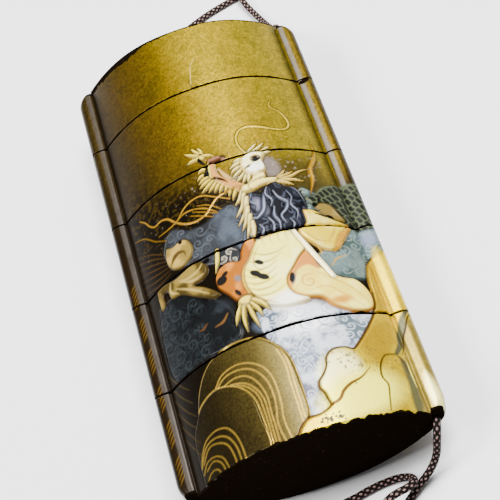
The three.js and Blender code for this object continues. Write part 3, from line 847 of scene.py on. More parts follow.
MOUND_LINES = [
    MOUND_BACK[1:13], MOUND_FRONT[1:12],
    [(-0.9, -28.6), (0.6, -31.2), (1.1, -34), (1.0, -38), (0.9, -44.4)],
    [(-0.1, -30.9), (0.5, -34), (0.4, -38), (0.4, -45.2)],
    [(-11.9, -32.9), (-10.4, -31.4), (-7.8, -30.8), (-5.6, -31.3), (-3.9, -32.4), (-2.7, -34),
     (-2.1, -36.4), (-2.1, -40.5), (-2.5, -43.7), (-2.1, -47.8)],
    [(-11.6, -33.1), (-10, -32), (-7.8, -31.8), (-5.4, -32.6), (-3.8, -34.5), (-3, -37), (-3, -40.5),
     (-3.6, -44), (-3.1, -47.8)],
    [(-10.4, -33.4), (-8.3, -33), (-6.4, -33.5), (-5, -35.1), (-4.05, -38), (-4.1, -42), (-4.2, -47.8)],
    [(-9.3, -33.8), (-7.2, -34.5), (-5.8, -35.8), (-4.65, -38.4), (-4.6, -42), (-4.8, -47.8)],
    [(-8.2, -34.4), (-6.6, -35.6), (-5.4, -37.7), (-5.1, -40.8), (-5.25, -47.8)],
    [(-18, -44.4), (-17.3, -42.4), (-16, -40.6), (-13.9, -40), (-12, -40.6), (-10.9, -42.2),
     (-10.3, -44.6), (-10.1, -47.8)],
    [(-17.7, -43.6), (-16, -41.4), (-13.9, -41.2), (-12.3, -42.1), (-11.2, -44.3), (-10.9, -47.8)],
    [(-17.5, -44), (-15.7, -42), (-13.9, -42.3), (-12.5, -43.5), (-11.9, -45.8), (-11.8, -47.8)],
    [(-17.9, -45.6), (-16.8, -44.1), (-15.2, -44), (-13.9, -45), (-13.2, -47.6)],
    [(-17.2, -45.4), (-15.7, -44.6), (-14.4, -45.6), (-13.9, -47.6)],
    [(-17.6, -47.6), (-16.8, -46.3), (-15.4, -46.2), (-14.7, -47.6)]]
ROCK = [(-1.5, -47.8), (-0.6, -46.4), (0.3, -45.4), (1.5, -44.7), (2.9, -44.7), (4.4, -44.4),
        (5.5, -43.7), (5.3, -42.4), (5.1, -41.2), (4.6, -40.2), (4.8, -39.1), (6, -37.9), (6.9, -36.4),
        (7.3, -35), (8.4, -33.9), (9.8, -33.6), (11.1, -33.8), (12.1, -34.3), (13.2, -33.3),
        (14.8, -31.4), (16.2, -29.5), (17.5, -27.4), (18.3, -25.3), (18.7, -22.6), (18.9, -19.8),
        (19.6, -16.8), (20.7, -15.1), (22.5, -14.6), (24.6, -13.4), (25.5, -30), (25.2, -48.4),
        (12, -48.6)]
CREVICE = [(5.5, -43.8), (7.1, -43.2), (8.1, -41.9), (9.5, -40.9), (11.6, -40), (13.6, -38.2)]
GULLY = [(24.2, -26.6), (22.6, -28.2), (21.3, -30.6), (20.3, -32.2), (19.8, -33.9), (18.6, -35.7)]
PILLAR = [(18.6, -35.8), (16.6, -36.1), (15.3, -38), (14.8, -40.4), (15.3, -41.8), (14.8, -44.2),
          (14.2, -46.8)]
print("lines on the mounds:", len(MOUND_LINES))

# %% The sea


def paint_sea(c):
    """The fields of water, from the far ones at the top to the near ones at the bottom, with a painted
    highlight on the near water.
    """
    area(c, SEA_LEFT, SLATE, second=(0.026, 0.030, 0.036), soft=0.8, rise=0.15)
    oval(c, (-1.6, -1.6), (2.4, 2.0), 0.3, (0.048, 0.060, 0.080), soft=0.9)
    oval(c, (-1.2, -6), (2.6, 3.0), 0.3, (0.048, 0.060, 0.080), soft=1.2)
    curls(c, SEA_LEFT, 1.15, 11, 0.26, PALE_SLATE, soft=0.14, strength=0.8)
    haze(c, SEA_LEFT, 2.6, 23, (0.020, 0.022, 0.025), 0.7)
    area(c, SEA_DEEP, DEEP, second=(0.0062, 0.0070, 0.0080), soft=0.8, rise=0.2)
    oval(c, (-8, -19.8), (3.0, 2.4), 0.4, (0.010, 0.012, 0.015), soft=1.2)
    curls(c, SEA_DEEP, 1.45, 12, 0.28, DEEP_LINE, soft=0.16, strength=0.85)
    curls(c, SEA_DEEP, 0.75, 17, 0.2, (0.014, 0.019, 0.021), soft=0.14, strength=0.7)
    haze(c, SEA_DEEP, 2.8, 24, (0.0032, 0.0034, 0.0036), 0.85)
    area(c, SEA_RIGHT, TEAL, second=(0.10, 0.145, 0.145), soft=0.8, rise=0.2)
    oval(c, (22.2, -10.6), (1.6, 1.8), 0.2, (0.15, 0.18, 0.24), soft=1.2)
    curls(c, SEA_RIGHT, 1.1, 13, 0.24, (0.20, 0.27, 0.24), soft=0.14, strength=0.7)
    haze(c, SEA_RIGHT, 2.4, 25, (0.115, 0.155, 0.135), 0.7)
    area(c, SEA_NEAR, MIST, second=(0.24, 0.28, 0.34), soft=0.5, rise=0.25)
    oval(c, (0.8, -25.2), (3.2, 1.7), 0.0, (0.050, 0.068, 0.098), soft=1.0)
    oval(c, (12.8, -29.4), (3.4, 2.8), 0.4, (0.085, 0.120, 0.130), soft=1.4)
    oval(c, (3.0, -40.5), (0.9, 4.6), 0.0, (0.115, 0.105, 0.145), soft=0.9)
    # A painted highlight: a soft near-white glow on the near water.
    oval(c, (6.4, -26.8), (4.4, 3.2), 0.0, (0.96, 0.97, 0.96), soft=2.2)
    curls(c, SEA_NEAR, 1.3, 14, 0.24, (0.075, 0.095, 0.150), soft=0.16, strength=0.8)
    curls(c, SEA_NEAR, 0.9, 18, 0.22, (0.56, 0.60, 0.66), soft=0.14, strength=0.8)
    haze(c, SEA_NEAR, 2.4, 26, (0.62, 0.65, 0.70), 0.75)


# %% Mounds and rocks


def paint_mounds(c):
    """Wave mounds: dark lacquer dusted with gold toward the right, ringed by fine gold lines."""
    for points, rise in ((MOUND_BACK, 0.45), (MOUND_FRONT, 0.7)):
        area(c, points, (0.0075, 0.0048, 0.0012), rise=rise, gold=0.5, rough=0.35)
        where, x, y, here = within(c, points)
        light = step(x + 0.25 * (y + 36) + 2.5 * noise(x, y, 3.0, 21), -15.5, 1.0)
        dust = here * (0.10 + 0.90 * light) * step(noise(x, y, 0.17, 22, 1) + 0.6 * light, -0.1, 1.25)
        c.colour[where] = mix(c.colour[where], mix(OLIVE, (0.125, 0.096, 0.024), step(x, -5, 2)), dust)
    for line in MOUND_LINES:
        bright = 0.45 + 0.55 * step(np.mean(line, 0)[0], -17, -8)
        stroke(c, line, 0.26, np.multiply(LINE_GOLD, bright), gold=0.5, soft=0.14)
    for k in range(6):
        y = -27.5 - 2.6 * k
        stroke(c, [(-20.3, y + 3.4), (-18.6, y), (-17.0, y - 2.2)], (0.08, 0.16, 0.08),
               (0.05, 0.034, 0.008), soft=0.16, strength=0.8)


def paint_rocks(c):
    """Rocks: raised flat gold, with brown contour lines, a crevice, a gully, a pillar, dots of moss and
    painted highlights.
    """
    area(c, ROCK, (0.46, 0.30, 0.0), second=(0.56, 0.40, 0.0), edge=(0.10, 0.048, 0.004), band=0.4,
         gold=0.5, rise=0.6)
    area(c, [(12.6, -34), (16.2, -29.8), (18.8, -23), (20.4, -16), (22, -16.2), (20.2, -27), (18, -35),
             (14.2, -38.6)], (0.38, 0.235, 0.0), second=(0.48, 0.32, 0.0), soft=0.7, gold=0.4)
    # Painted highlights: a near-white glow on the rock's left lobe and a bright yellow one over its lower
    # part.
    oval(c, (8.6, -38.2), (3.4, 3.9), -0.4, (0.98, 0.94, 0.40), soft=1.8, gold=0.1)
    oval(c, (10.6, -43.0), (6.6, 4.2), 0.2, (0.98, 0.88, 0.07), soft=2.6, gold=0.1)
    oval(c, (22.6, -19), (1.3, 5.0), 0.0, BRIGHT, soft=1.2, gold=0.3)
    area(c, [(19.6, -36.5), (21.6, -31), (24.8, -28), (25, -48), (19.4, -48)], (0.20, 0.145, 0.025),
         second=(0.27, 0.20, 0.03), soft=0.8, gold=0.45)
    # A painted highlight: a pale streak on the right runner's lower end.
    oval(c, (22.7, -43.8), (0.9, 3.4), 0.05, (0.90, 0.80, 0.30), soft=0.8, gold=0.2)
    area(c, [(18.6, -36), (19.6, -37.4), (20, -42), (19, -47.4), (18.2, -47.4), (18.6, -41)],
         (0.090, 0.082, 0.030), soft=0.5, gold=0.3)
    stroke(c, GULLY, (0.4, 1.3, 1.2, 0.7), (0.072, 0.070, 0.032), soft=0.3, gold=0.3)
    stroke(c, np.add(GULLY, (0.75, -0.25)), (0.1, 0.4, 0.4, 0.15), (0.022, 0.011, 0.003), soft=0.16)
    for line, width, colour in ((ROCK[:24], 0.44, (0.060, 0.030, 0.006)),
                                (CREVICE, (0.6, 0.55, 0.1), (0.095, 0.042, 0.006)),
                                (PILLAR, (0.2, 0.36, 0.3, 0.2), (0.050, 0.030, 0.006))):
        stroke(c, line, width, colour, gold=0.3, soft=0.16)
    stroke(c, [(16.8, -36.2), (18.4, -36.1), (19.2, -37.6), (19.3, -40)], (0.1, 0.3, 0.1), BROWN, soft=0.2)
    # A painted highlight: a pale line down the right side of the pillar.
    stroke(c, [(19.7, -37.4), (19.75, -42.4)], (0.1, 0.3, 0.1), PALE, soft=0.2)
    rng = np.random.default_rng(33)
    specks(c, rng, 60, rng.normal, ((12.2, -36.2), (2.4, 1.7)), (0.10, 0.24), (0.11, 0.075, 0.022),
           (0.5, 0.95))
    for _ in range(26):
        at = rng.uniform((3.0, -46.9), (7.0, -45.2))
        oval(c, at, (rng.uniform(0.14, 0.28),) * 2, 0, (0.030, 0.026, 0.024), strength=0.9)


# %% [markdown]
# ## The dragon
# It is one body seen in pieces between the waves: a scaled back at the right, a ribbed belly in the
# middle, limbs with clawed paws, and a maned head with whiskers. The parts are painted from the
# farthest to the nearest, so each covers what it hides. A part is an outline or a stroke with a
# darker edge, and its folds, claws and locks are strokes on top.

# %% Outlines of the dragon's body
BACK = [(13.4, -0.8), (15.6, -0.2), (17, 1.4), (19, 2.4), (22, 2.2), (25, 1.4), (25, -8), (21.4, -8.6),
        (18.6, -7), (16.4, -3.4), (14.2, -2.6)]
MANE = [(3.0, 1.4), (4.4, 2.2), (6.2, 1.4), (8.2, 3.4), (9.4, 3.6), (10.6, 2.2), (12.4, 1.6),
        (13.2, -0.6), (13.4, -3), (12.6, -5), (12.2, -8.2), (7.4, -8.2), (3, -8.2), (2.2, -5.6),
        (2.6, -2.4)]
BELLY = [(2.4, -8.6), (5.4, -8.2), (8.6, -8.3), (9.6, -10.4), (10.4, -12.6), (8.8, -14.6),
         (7.4, -16.6), (6.2, -18.4), (6, -21), (8.4, -23.2), (4.6, -23.8), (1.6, -22.8), (-0.6, -20.9),
         (-1.6, -18.6), (-2, -16.2), (-1.4, -13.8), (0.2, -12)]
SHOULDER = [(2.6, -7.6), (0.4, -8.0), (-0.8, -9.8), (-1.4, -11.4), (-3.4, -10.9), (-5.4, -11.5),
            (-6.5, -13.1), (-6.5, -15.2), (-5.2, -17.2), (-3.6, -19.6), (-1.8, -19.8), (-0.8, -17.4),
            (0, -13.6), (2.2, -10.4)]
THIGH = [(10.3, -12.8), (8.6, -14.4), (7, -16.3), (5.6, -17.9), (5.2, -19.8), (5.8, -21.6),
         (7.6, -22.8), (10, -23.4), (11.8, -25.6), (15, -27), (17.8, -26.4), (18.4, -23), (16.8, -20),
         (14.2, -19.2), (12.4, -16.4), (11.6, -13)]

# %% The scaled back and the dark mane


def paint_back_scales(c):
    """The back at the right: dark, with a net of pale lines around long slanted cells."""
    area(c, BACK, (0.0085, 0.0095, 0.0065), soft=0.3, rise=0.5, rough=0.35)
    where, x, y, here = within(c, BACK)
    u, v = (x * 0.86 + y * 0.50) / 1.12, (-x * 0.50 + y * 0.86) / 1.55
    u = u + 0.55 * (noise(x, y, 1.6, 43) - 0.5)
    v = v + 0.35 * (noise(x, y, 2.0, 46) - 0.5)
    row = np.floor(v)
    du, dv = (u + 0.5 * (row % 2)) % 1 - 0.5, v % 1 - 0.5
    gap = np.maximum(np.abs(du) * 1.1, np.abs(dv) * 0.8 + np.abs(du) * 0.3)
    c.colour[where] = mix(c.colour[where], NET, 0.9 * step(gap, 0.35, 0.46) * here)
    stroke(c, BACK[1:7], (0.3, 0.6, 0.3), NET, soft=0.3, strength=0.8)


def paint_mane(c):
    """The black locks in the middle: dark, with blue-white streaks that flow down them."""
    area(c, MANE, (0.0032, 0.0034, 0.0048), second=(0.0080, 0.0090, 0.0130), rise=0.45, rough=0.22)
    where, x, y, here = within(c, MANE)
    flow = noise(x + 0.8 * noise(x, y, 2.2, 45), 0.55 * y, 1.5, 44, 2)
    ridge = np.maximum(1 - step(np.abs(flow - 0.44), 0.0, 0.05),
                       0.7 * (1 - step(np.abs(flow - 0.60), 0.0, 0.035)))
    c.colour[where] = mix(c.colour[where], (0.085, 0.098, 0.140), 0.55 * ridge * here)
    oval(c, (5.3, -1.6), (0.9, 1.7), 0.25, (0.20, 0.20, 0.27), soft=1.0, strength=0.85)
    streaks = [
        ([(6.4, 1.2), (6.0, -1), (5.4, -2.8), (3.8, -4), (2.8, -3.6)], (0.3, 1.3, 1.2, 0.2)),
        ([(7.4, 2.6), (6.7, 0.8), (7.5, -0.8), (6.9, -2.2)], (0.2, 0.6, 0.5, 0.1)),
        ([(8.2, 1.2), (8.7, -0.4), (10, -1.8), (9.4, -3.4), (8.2, -4.6), (8.6, -6.6)],
         (0.2, 0.8, 1.0, 0.7, 0.1)),
        ([(7.5, -2.4), (7.0, -4.4), (7.5, -6), (7.2, -7.8)], (0.2, 0.9, 0.6, 0.2)),
        ([(10.4, 0.8), (11, -0.8), (10.4, -2.4), (11.2, -4.2), (10.6, -6)], (0.1, 0.3, 0.45, 0.1)),
        ([(11.4, 1.6), (12.6, 0.2), (12.9, -2)], (0.1, 0.4, 0.1)),
        ([(4.2, 1.4), (3.6, 0), (4.6, -1.2), (4.2, -2.4)], (0.1, 0.35, 0.1)),
        ([(5.8, -4.6), (6.4, -6), (6, -7.8)], (0.2, 0.6, 0.7)),
        ([(4.0, -5.6), (4.4, -6.8), (3.6, -8)], (0.2, 0.6, 0.9)),
        ([(9.4, -5.6), (9.9, -6.8), (9.4, -8)], (0.1, 0.4, 0.5)),
        ([(2.6, -5.4), (2.4, -6.8), (1.8, -8)], (0.2, 0.8, 0.8))]
    for line, width in streaks:
        stroke(c, line, width, (0.036, 0.042, 0.062), edge=(0.006, 0.007, 0.011), band=0.5, soft=0.3,
               rise=0.55)
        stroke(c, np.add(line, (0.15, 0.1)), np.multiply(width, 0.3), (0.26, 0.28, 0.36), soft=0.16,
               strength=0.8)


# %% Foam at the left


def paint_left_curl(c):
    """Tan foam at the left: a hooked curl with a dark hollow, and claw-like tongues below it."""
    area(c, [(-13.8, -1.4), (-12.2, -2.0), (-10.6, -1.6), (-9.2, -2.6), (-8.7, -4.8), (-9.8, -6.6),
             (-12, -7.2), (-13.8, -6.2), (-14.4, -3.8)],
         TAN, second=(0.34, 0.22, 0.045), edge=DARK_TAN, rise=0.5)
    stroke(c, [(-13.4, -5.6), (-12.6, -4.6), (-11.4, -4.1), (-10.3, -4.7), (-10.4, -5.6)],
           (0.2, 0.9, 0.6, 0.1), (0.050, 0.030, 0.008), soft=0.25)
    oval(c, (-10.7, -2.1), (0.42, 0.62), 0.3, BLACK)
    area(c, [(-17.9, -8.0), (-16, -7.8), (-13.6, -8.4), (-9.8, -7.8), (-7.8, -8.4), (-7.2, -10.4),
             (-8.4, -11.8), (-10.6, -11.9), (-8.6, -13.6), (-6.4, -16.4), (-7.6, -16.6), (-11, -14.2),
             (-13.4, -12.2), (-15.4, -11.6), (-15.8, -9.8), (-16.8, -9.4), (-17, -12), (-17.8, -12.4),
             (-18, -10)], DARK_TAN, second=TAN, edge=(0.040, 0.024, 0.006), rise=0.5)
    for line in ([(-13, -9.4), (-11.4, -10.2), (-9, -9.8), (-7.8, -8.8)],
                 [(-13.8, -10.6), (-11, -12.8), (-8.2, -15.4)],
                 [(-12.8, -9.8), (-10.4, -11.2), (-8.2, -11)],
                 [(-14.6, -8.8), (-15, -10.4), (-13.6, -11.8)]):
        stroke(c, line, (0.1, 0.5, 0.1), (0.32, 0.225, 0.06), soft=0.25)
    oval(c, (-7.2, -8.6), (0.75, 0.5), 0.2, BLACK)
    oval(c, (-16.4, -11.2), (0.4, 1.0), 0.0, SHADE)
    stroke(c, [(-12.6, -7.2), (-10.4, -7.6), (-8.2, -7.0)], (0.2, 0.6, 0.2), SHADE, soft=0.2)
    area(c, [(-4.6, -8.2), (-1.2, -8.0), (-0.6, -9.8), (-1.6, -11.6), (-3.8, -11.2), (-5, -10)], SLATE,
         soft=0.3, rise=0.4)
    for at, turn in (((-2.6, -9.0), 0.5), ((-2.2, -10.8), 2.4), ((-4.0, -9.9), 4.0)):
        curl(c, at, 0.8, turn, 1, 0.26, (0.30, 0.27, 0.20), soft=0.14)
    stroke(c, [(-4.7, -7.6), (-5.2, -9.6), (-6.2, -12)], (0.9, 0.9, 0.15), CREAM, edge=DARK_TAN, band=0.2,
           rise=0.6)


# %% Belly, thigh and gold forms


def paint_belly(c):
    """The middle of the dragon: an orange shoulder, a pale ribbed belly with a painted highlight low on it,
    and a thigh that curls in.
    """
    area(c, [(2.4, -4.8), (2.0, -7), (3.2, -8.6), (9.4, -8.2), (9, -9.6), (3, -10)], (0.74, 0.66, 0.36),
         soft=0.4)
    area(c, SHOULDER, ORANGE, second=(0.56, 0.20, 0.028), edge=RUST, rise=0.6)
    oval(c, (-2.6, -15), (0.55, 0.7), 0.4, (0.13, 0.105, 0.10), soft=0.3)
    area(c, BELLY, PALE, second=(0.94, 0.88, 0.26), edge=(0.40, 0.26, 0.008), band=0.9, rise=0.9)
    for k in range(9):
        y = -11.2 - 1.32 * k
        left = np.interp(y, [-23, -20.9, -18.6, -16.2, -13.8, -12, -10],
                         [1.6, -0.6, -1.6, -2.0, -1.4, 0.2, 2.2])
        stroke(c, [(left + 0.3, y), (left + 1.9, y - 1.1), (left + 4.4, y - 1.2), (left + 6.2, y - 0.3)],
               (0.12, 0.40, 0.28, 0.05), (0.31, 0.19, 0.010), soft=0.3, strength=0.85)
    # A painted highlight: a soft near-white glow low on the belly.
    oval(c, (5.0, -22.2), (3.4, 1.5), 0.1, (0.97, 0.95, 0.80), soft=1.4)
    stroke(c, [(1.3, -11), (-0.9, -13.8), (-1.5, -16.6), (-0.9, -19.3), (0.7, -21.3), (2.8, -22.6)],
           (0.1, 0.3, 0.3, 0.1), (0.30, 0.165, 0.025), soft=0.2)
    stroke(c, [(2.6, -10.2), (1.2, -12.2), (0.9, -14), (2.0, -15.4)], (0.1, 0.25, 0.1),
           (0.30, 0.165, 0.025), soft=0.2)
    for x in (3.8, 5.2, 6.6, 8.0):
        stroke(c, [(x, -8.0), (x - 0.3, -9.4), (x - 0.1, -10.8)], (0.45, 0.25, 0.05), (0.42, 0.26, 0.05),
               soft=0.25, strength=0.7)
    area(c, THIGH, (0.80, 0.62, 0.07), second=(0.92, 0.80, 0.16), edge=(0.30, 0.085, 0.004), band=0.9,
         rise=0.75)
    area(c, [(10.2, -13), (8.6, -14.6), (7.2, -16.6), (5.9, -18.2), (5.6, -20.4), (6.6, -19.2),
             (7.8, -17), (9.6, -16.4), (11.2, -17.6), (11.6, -15)], (0.50, 0.19, 0.030), soft=0.5)
    curl(c, (8.9, -19.8), 1.5, 1.2, 1, 0.34, (0.56, 0.33, 0.05), soft=0.2)
    for line in ([(9.6, -17.2), (12.4, -19.6), (15.2, -21.8), (17.4, -25)],
                 [(8.6, -21.6), (11.6, -21.4), (14, -23.6), (16.4, -26)],
                 [(10.8, -24), (12.6, -24.6), (14.2, -26.2)]):
        stroke(c, line, (0.1, 0.35, 0.1), (0.58, 0.30, 0.035), soft=0.25, strength=0.8)
    oval(c, (11.6, -16.6), (0.5, 1.1), 0.35, (0.16, 0.13, 0.075), soft=0.3)
    oval(c, (13, -24.4), (1.7, 0.8), 0.1, (0.56, 0.25, 0.022), soft=0.7)
    oval(c, (6.5, -18.6), (0.36, 1.1), -0.35, (0.075, 0.072, 0.090), soft=0.16)


def paint_gold_forms(c):
    """Yellow folds beside the scaled back, the straight pale horn of foam, and an orange strand."""
    area(c, [(12.2, -4), (13.6, -3.8), (15.4, -5), (17.4, -6.4), (19.6, -7.8), (18, -10), (16, -13.2),
             (14, -13.4), (12, -11.8), (10.2, -8.6), (12, -7)], BRIGHT, second=(0.86, 0.70, 0.16),
             edge=(0.36, 0.20, 0.020), gold=0.2, rise=0.6)
    stroke(c, [(19, -7.9), (17.3, -10.3), (15.2, -13.4)], (0.8, 1.3, 0.4), (0.56, 0.27, 0.012), soft=0.3,
           gold=0.4, rise=0.65)
    for line in ([(11.4, -9.4), (13, -11.2), (15, -11.6)], [(16.6, -8.2), (15.6, -10.2), (14.6, -11.4)],
                 [(12.4, -12), (13, -13.6), (12.2, -14)], [(13.8, -16.8), (15, -15.2), (17, -14.4)]):
        stroke(c, line, (0.1, 0.3, 0.1), (0.42, 0.24, 0.025), soft=0.2)
    area(c, [(14.4, -3.4), (15.6, -2.4), (17.4, -2.8), (18.2, -4.6), (19, -6.6), (17.2, -6.6),
             (15.4, -5.2)], TAN, second=(0.36, 0.26, 0.085), edge=DARK_TAN, rise=0.6)
    stroke(c, [(13.4, -3.9), (14.6, -4.2), (15.4, -4.1)], (0.2, 0.45, 0.1), BLACK)
    stroke(c, [(14.0, -5.0), (15.4, -5.6), (16.4, -5.9), (17.2, -6.8)], (0.3, 0.6, 0.9, 0.2), BLACK)
    oval(c, (14.7, -2.8), (0.45, 0.4), 0, BLACK)
    oval(c, (15.6, -1.8), (0.3, 0.3), 0, BLACK)
    stroke(c, [(9.4, -8.6), (10.4, -11.6), (13.2, -19.2)], (1.1, 1.35, 1.35, 1.2), (0.90, 0.82, 0.42),
           edge=(0.42, 0.27, 0.05), band=0.25, gold=0.2, rise=0.9)
    stroke(c, [(18.5, 13.0), (18.4, 10.6), (17.5, 8.2), (16.4, 6), (16.2, 3.6), (15.6, 1.8), (14.8, -0.2)],
           (0.2, 0.4, 1.0, 0.9, 0.9, 0.5, 0.1), (0.34, 0.185, 0.0), edge=(0.15, 0.065, 0.002), band=0.3,
           gold=0.4, rise=0.6)


# %% [markdown]
# ## The dragon's head and claws
# The head end comes last, because it lies over everything: the raised arm with its row of flames,
# the far arm, the neck, and the head with its eye, mane and whiskers.

# %% Flames, locks and claws
ARM_FLAMES = [[(-2.2, 10.6), (-2.9, 10.7), (-3.8, 10.3)], [(-2.4, 9.4), (-3.2, 9.4), (-4.4, 8.8)],
              [(-2.3, 8.6), (-3.1, 8.4), (-4.3, 7.9)], [(-1.9, 7.9), (-2.9, 7.6), (-4.4, 6.9)],
              [(-1.4, 7.4), (-2.4, 6.8), (-4.3, 5.7)], [(-0.8, 7.0), (-1.7, 6.2), (-3.0, 5.3)],
              [(-0.2, 6.5), (-1.1, 5.7), (-2.0, 4.8)], [(0.4, 6.0), (-0.4, 5.2), (-1.1, 4.2)],
              [(1.0, 5.4), (0.4, 4.6), (-0.2, 3.6)], [(1.6, 4.8), (1.0, 3.9), (0.4, 2.8)],
              [(2.2, 4.0), (1.6, 3.0), (0.9, 1.8)]]
NECK_LOCKS = [[(3.0, 3.0), (2.0, 1.2), (0.9, 0.4)], [(3.2, 2.2), (2.2, -0.4), (0.4, -2.4)],
              [(3.4, 1.2), (2.4, -1.8), (0.3, -4.4)], [(3.0, -1.0), (2.2, -3.4), (0.8, -5.6)],
              [(3.0, -2.8), (2.4, -4.8), (1.2, -7.4)], [(3.0, -4.4), (2.8, -6.0), (2.3, -8.2)]]
HAND_CLAWS = [[(-2.7, 14.2), (-3.8, 14.8), (-5.3, 16.0)], [(-2.4, 14.5), (-3.0, 15.4), (-3.7, 16.6)],
              [(-2.9, 13.5), (-3.8, 13.5), (-5.2, 13.5)], [(-2.0, 14.1), (-2.0, 15.2), (-2.6, 16.2)],
              [(-1.7, 13.8), (-0.8, 13.5), (0.2, 13.1)]]
PAW_CLAWS = [[(-3.7, -20.4), (-4.6, -21.9), (-5.4, -23.8)], [(-3.2, -20.8), (-3.7, -23), (-3.8, -25.8)],
             [(-2.3, -21), (-2.0, -23.2), (-1.5, -25.8)], [(-1.6, -20.6), (-0.8, -22.2), (-0.4, -23.9)],
             [(-1.2, -20.0), (0.2, -21.4), (1.2, -23.3)]]
HEAD_LOCKS = [[(4.4, 9.6), (3.2, 9.2), (2.0, 8.8)], [(4.2, 8.6), (3.0, 8.2), (1.9, 7.5)],
              [(4.2, 7.8), (3.0, 7.0), (1.9, 6.4)], [(4.6, 7.0), (3.5, 6.0), (2.4, 5.3)],
              [(5.0, 6.6), (4.2, 5.4), (3.5, 4.6)], [(5.4, 6.4), (4.9, 5.2), (4.6, 4.4)],
              [(5.0, 10.2), (4.0, 10.2), (3.0, 10.0)]]
CREST_LOCKS = [[(6.2, 11.4), (7.3, 12.2), (8.5, 13.4)], [(7.2, 11.2), (8.4, 12.0), (9.9, 13.3)],
               [(8.0, 10.9), (9.3, 11.4), (10.7, 12.2)], [(8.2, 10.4), (9.4, 10.6), (10.6, 10.9)]]
FAR_CLAWS = [[(9.6, 4.4), (10.8, 5.0), (11.9, 6.2)], [(10.0, 4.2), (11.6, 4.8), (13.2, 5.6)],
             [(10.2, 3.9), (12.4, 4.4), (14.4, 5.6), (16.0, 6.2)], [(10.2, 3.6), (12.4, 3.6), (14.6, 3.2)],
             [(9.8, 3.4), (11.2, 3.0), (12.6, 2.4)]]
print("claws:", len(HAND_CLAWS) + len(PAW_CLAWS) + len(FAR_CLAWS))

# %% The raised arm


def paint_arm(c):
    """The raised arm: a row of pale flames, an orange forearm with black wear, a palm and five claws."""
    locks(c, ARM_FLAMES, 0.85, CREAM, edge=(0.20, 0.12, 0.02), band=0.28, rise=0.6)
    stroke(c, [(3.2, 3.8), (1.2, 5.6), (-0.6, 7.8), (-1.0, 9.6), (-0.8, 11.4)], (2.0, 1.7, 1.5, 1.5, 1.5),
           (0.46, 0.20, 0.045), edge=(0.62, 0.42, 0.11), band=0.4, rise=0.7)
    stroke(c, [(0.2, 9.8), (1.0, 7.8), (2.4, 5.8)], (0.3, 0.9, 0.5), (0.40, 0.24, 0.075), soft=0.3)
    stroke(c, [(-0.9, 11.9), (0.4, 12.1), (1.7, 12.0)], (1.3, 1.2, 0.7), (0.20, 0.085, 0.045), edge=RUST,
           band=0.3, rise=0.7)
    stroke(c, [(1.4, 11.8), (2.3, 11.4)], (0.5, 0.1), (0.30, 0.15, 0.085))
    oval(c, (1.6, 12.1), (0.5, 0.28), 0.3, BLACK)
    oval(c, (-2.3, 13.6), (1.0, 1.0), 0.0, CREAM, edge=(0.24, 0.15, 0.03), rise=0.7)
    locks(c, HAND_CLAWS, 0.72, CREAM, edge=(0.24, 0.15, 0.03), band=0.2, rise=0.75)
    stroke(c, [(-2.9, 13.2), (-2.5, 12.5), (-2.1, 11.8)], (0.5, 0.7, 0.3), BLACK)
    oval(c, (-2.2, 14.0), (0.35, 0.22), 0.3, BLACK)
    stroke(c, [(-1.7, 11.2), (-1.9, 10.4), (-2.4, 9.2)], (0.6, 0.7, 0.9), BLACK)
    stroke(c, [(-1.9, 8.2), (-0.7, 7.4), (0.4, 6.5), (1.1, 5.6)], (0.15, 0.55, 0.55, 0.15), BLACK)
    stroke(c, [(-1.4, 11.6), (-1.5, 10), (-1.7, 8.6)], (0.2, 0.35, 0.2), PALE, soft=0.14)


# %% The head and the paw


def paint_head(c):
    """The head, turned to the right: mane, crest, a pale face, a dark eye, a brow and a nostril."""
    oval(c, (9.6, 7.2), (1.6, 2.6), 0.2, (0.135, 0.105, 0.090), soft=1.0)
    stroke(c, [(6.6, 7), (6.9, 5.2), (5.4, 3.6), (3.8, 3.2)], (2.6, 2.4, 2.4, 1.6), (0.86, 0.72, 0.20),
           edge=(0.40, 0.26, 0.04), band=0.5, rise=0.7)
    stroke(c, [(5.2, 3.4), (7.4, 3.9), (9.4, 3.9), (10.6, 4.0)], (1.6, 1.6, 1.3, 0.9), (0.80, 0.64, 0.15),
           edge=(0.36, 0.22, 0.03), band=0.35, rise=0.7)
    locks(c, FAR_CLAWS, 0.62, (0.72, 0.54, 0.11), edge=(0.34, 0.19, 0.02), band=0.2, rise=0.65)
    oval(c, (9.4, 4.6), (0.7, 0.28), 0.0, (0.020, 0.014, 0.010))
    locks(c, HEAD_LOCKS, 0.80, (0.84, 0.72, 0.22), edge=(0.16, 0.10, 0.02), band=0.25, rise=0.7)
    locks(c, CREST_LOCKS, 0.75, (0.82, 0.72, 0.24), edge=(0.34, 0.21, 0.03), band=0.2, rise=0.7)
    area(c, [(4.2, 8.4), (4.8, 10.2), (6.4, 11.0), (8.2, 10.9), (9.2, 10.2), (8.4, 8.8), (8.6, 7.2),
             (8.0, 6.0), (6.2, 5.8), (4.9, 6.6)],
         (0.90, 0.82, 0.34), second=(0.90, 0.88, 0.60), edge=(0.66, 0.48, 0.10), band=0.7, rise=0.95)
    oval(c, (6.8, 7.1), (1.5, 0.95), 0.2, (0.92, 0.91, 0.80), soft=0.5)
    oval(c, (7.2, 9.1), (0.98, 0.74), 0.35, BLACK)
    stroke(c, [(6.2, 9.0), (6.5, 9.7), (7.3, 9.9), (8.1, 9.6)], (0.1, 0.3, 0.3, 0.1), (0.30, 0.17, 0.02),
           soft=0.14)
    stroke(c, [(4.9, 7.4), (5.5, 7.6), (6.0, 8.0)], (0.3, 0.55, 0.2), (0.045, 0.034, 0.014), soft=0.14)
    stroke(c, [(6.2, 11.1), (7.4, 10.9), (8.6, 11.1)], (0.15, 0.4, 0.15), BLACK)
    stroke(c, [(6.9, 6.2), (8.0, 6.0), (8.6, 6.6)], (0.1, 0.3, 0.1), (0.26, 0.13, 0.03), soft=0.14)
    oval(c, (8.5, 8.0), (0.3, 0.22), 0.2, (0.10, 0.06, 0.02))


